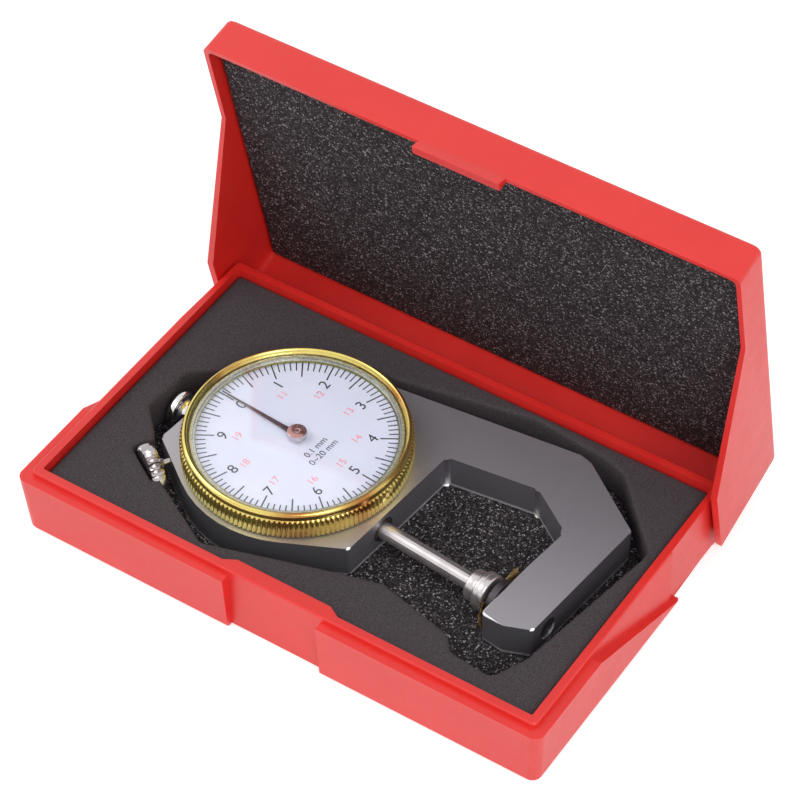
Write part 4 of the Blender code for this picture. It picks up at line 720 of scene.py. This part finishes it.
# Crystal over the dial: a clear dome moulded of acrylic, with a short skirt that is pressed into
# the bezel. The lamps' light goes through it to the dial without a shadow.
clear, tree, shader, place = shader_of("crystal_glass", 0.0)
shader.inputs["Base Color"].default_value = (0.97, 0.99, 1.0, 1.0)
shader.inputs["Transmission Weight"].default_value = 1.0
shader.inputs["IOR"].default_value = 1.49
tree.links.new(spread(tree, clouding(tree, place, 120), 0.0, 0.03), shader.inputs["Roughness"])
lit = tree.nodes.new("ShaderNodeMixShader")
path = tree.nodes.new("ShaderNodeLightPath")
open_way = tree.nodes.new("ShaderNodeBsdfTransparent")
tree.links.new(path.outputs["Is Shadow Ray"], lit.inputs["Fac"])
tree.links.new(shader.outputs["BSDF"], lit.inputs[1])
tree.links.new(open_way.outputs["BSDF"], lit.inputs[2])
tree.links.new(lit.outputs["Shader"], tree.nodes["Material Output"].inputs["Surface"])

# Outside and inside, the dome's height falls with the square of the radius.
DOME_RADIUS, DOME_TOP, DOME_FALL = 23.9, 16.2, 1.3
HOLLOW_RADIUS, HOLLOW_TOP, HOLLOW_FALL = 23.2, 15.3, 1.1
SKIRT_FOOT, SKIRT_INNER = 13.8, 23.3
DOME_ROWS, DOME_COLUMNS = 16, 144
share = np.linspace(0, 1, DOME_ROWS)
inwards = share[::-1]
outside = np.stack([DOME_RADIUS * share, DOME_TOP - DOME_FALL * share**2], axis=1)
inside = np.stack([HOLLOW_RADIUS * inwards, HOLLOW_TOP - HOLLOW_FALL * inwards**2], axis=1)
skirt = np.array([(DOME_RADIUS, SKIRT_FOOT), (SKIRT_INNER, SKIRT_FOOT)])
dome_grid = turned(np.concatenate([outside, skirt, inside]), DOME_COLUMNS)
dome = piece_from("domed_crystal", on_gauge(dome_grid), clear)
fitted(dome, "rim", "crystal_glass", "crystal")


# Studio: a white floor that keeps a soft shadow, a white surround, two large soft lamps and the
# camera, which stands in front and to the right of the case and looks down on it.
def seen_white(tree, path):
    """1 for rays from the camera, off a glossy surface or through glass, and else 0."""
    total = path.outputs["Is Camera Ray"]
    for ray in ("Is Glossy Ray", "Is Transmission Ray"):
        either = tree.nodes.new("ShaderNodeMath")
        either.operation = "MAXIMUM"
        tree.links.new(total, either.inputs[0])
        tree.links.new(path.outputs[ray], either.inputs[1])
        total = either.outputs["Value"]
    return total


pale, tree, shader, place = shader_of("studio_floor", 0.9)
tree.links.new(tinted(tree, clouding(tree, place, 4), [(0.3, (0.80, 0.80, 0.80)),
                                                       (0.7, (0.84, 0.84, 0.84))]),
               shader.inputs["Base Color"])
shader.inputs["Specular IOR Level"].default_value = 0.1
shader.inputs["Emission Color"].default_value = (1, 1, 1, 1)
FLOOR_GLOW = 0.5
path = tree.nodes.new("ShaderNodeLightPath")
tree.links.new(spread(tree, seen_white(tree, path), 0.0, FLOOR_GLOW),
               shader.inputs["Emission Strength"])
FLOOR_HALF, FLOOR_DROP = 4000, 0.05
span = np.linspace(-FLOOR_HALF, FLOOR_HALF, 3)
x, y = np.meshgrid(span, span, indexing="ij")
floor_grid = np.stack([x, y, 0 * x - FLOOR_DROP], axis=2) * MM
floor = piece_from("studio_floor", floor_grid, pale, closed_columns=False)
if floor.data.polygons[0].normal.z < 0:
    floor.data.flip_normals()

world = bpy.data.worlds.new("studio")
bpy.context.scene.world = world
world.use_nodes = True
tree = world.node_tree
background = tree.nodes["Background"]
background.inputs["Color"].default_value = (1, 1, 1, 1)
SURROUND_LIGHT, SURROUND_SEEN = 0.62, 1.0
path = tree.nodes.new("ShaderNodeLightPath")
tree.links.new(spread(tree, seen_white(tree, path), SURROUND_LIGHT, SURROUND_SEEN),
               background.inputs["Strength"])


def soft_lamp(name, size, watts, place, aim):
    """A square lamp at a place, turned to face the point it is aimed at."""
    data = bpy.data.lights.new(name, "AREA")
    data.size = size
    data.energy = watts
    lamp = bpy.data.objects.new(name, data)
    bpy.context.scene.collection.objects.link(lamp)
    away = np.array(place, float) - np.array(aim, float)
    away /= np.linalg.norm(away)
    side = np.cross([0, 0, 1], away)
    side /= np.linalg.norm(side)
    turn = np.eye(4)
    turn[:3, :3] = np.stack([side, np.cross(away, side), away], axis=1)
    turn[:3, 3] = place
    lamp.matrix_world = Matrix(turn.tolist())


soft_lamp("key_lamp", 0.7, 9.0, (0.9, -0.7, 1.1), (0, 0, 0))
soft_lamp("side_lamp", 0.9, 6.0, (-1.1, -0.4, 1.0), (0, 0, 0))

# The camera's lens, axes and place are those that fit the case's edges and the dial's circles.
FOCAL_PIXELS, PICTURE_PIXELS, SENSOR = 3444.85, 800, 36
camera_data = bpy.data.cameras.new("camera")
camera_data.lens = FOCAL_PIXELS * SENSOR / PICTURE_PIXELS
camera_data.sensor_width = SENSOR
camera_data.clip_start = 0.05
camera_data.clip_end = 30
camera = bpy.data.objects.new("camera", camera_data)
bpy.context.scene.collection.objects.link(camera)
right = (0.8363886, 0.5480855, -0.0075116)
up = (-0.3941805, 0.6109362, 0.6865702)
backwards = (0.3808882, -0.5712786, 0.7270247)
stand = (0.2841329, -0.4165907, 0.5762772)
camera.matrix_world = Matrix([*zip(right, up, backwards, stand), (0, 0, 0, 1)])
bpy.context.scene.camera = camera
bpy.context.scene.view_settings.view_transform = "Standard"
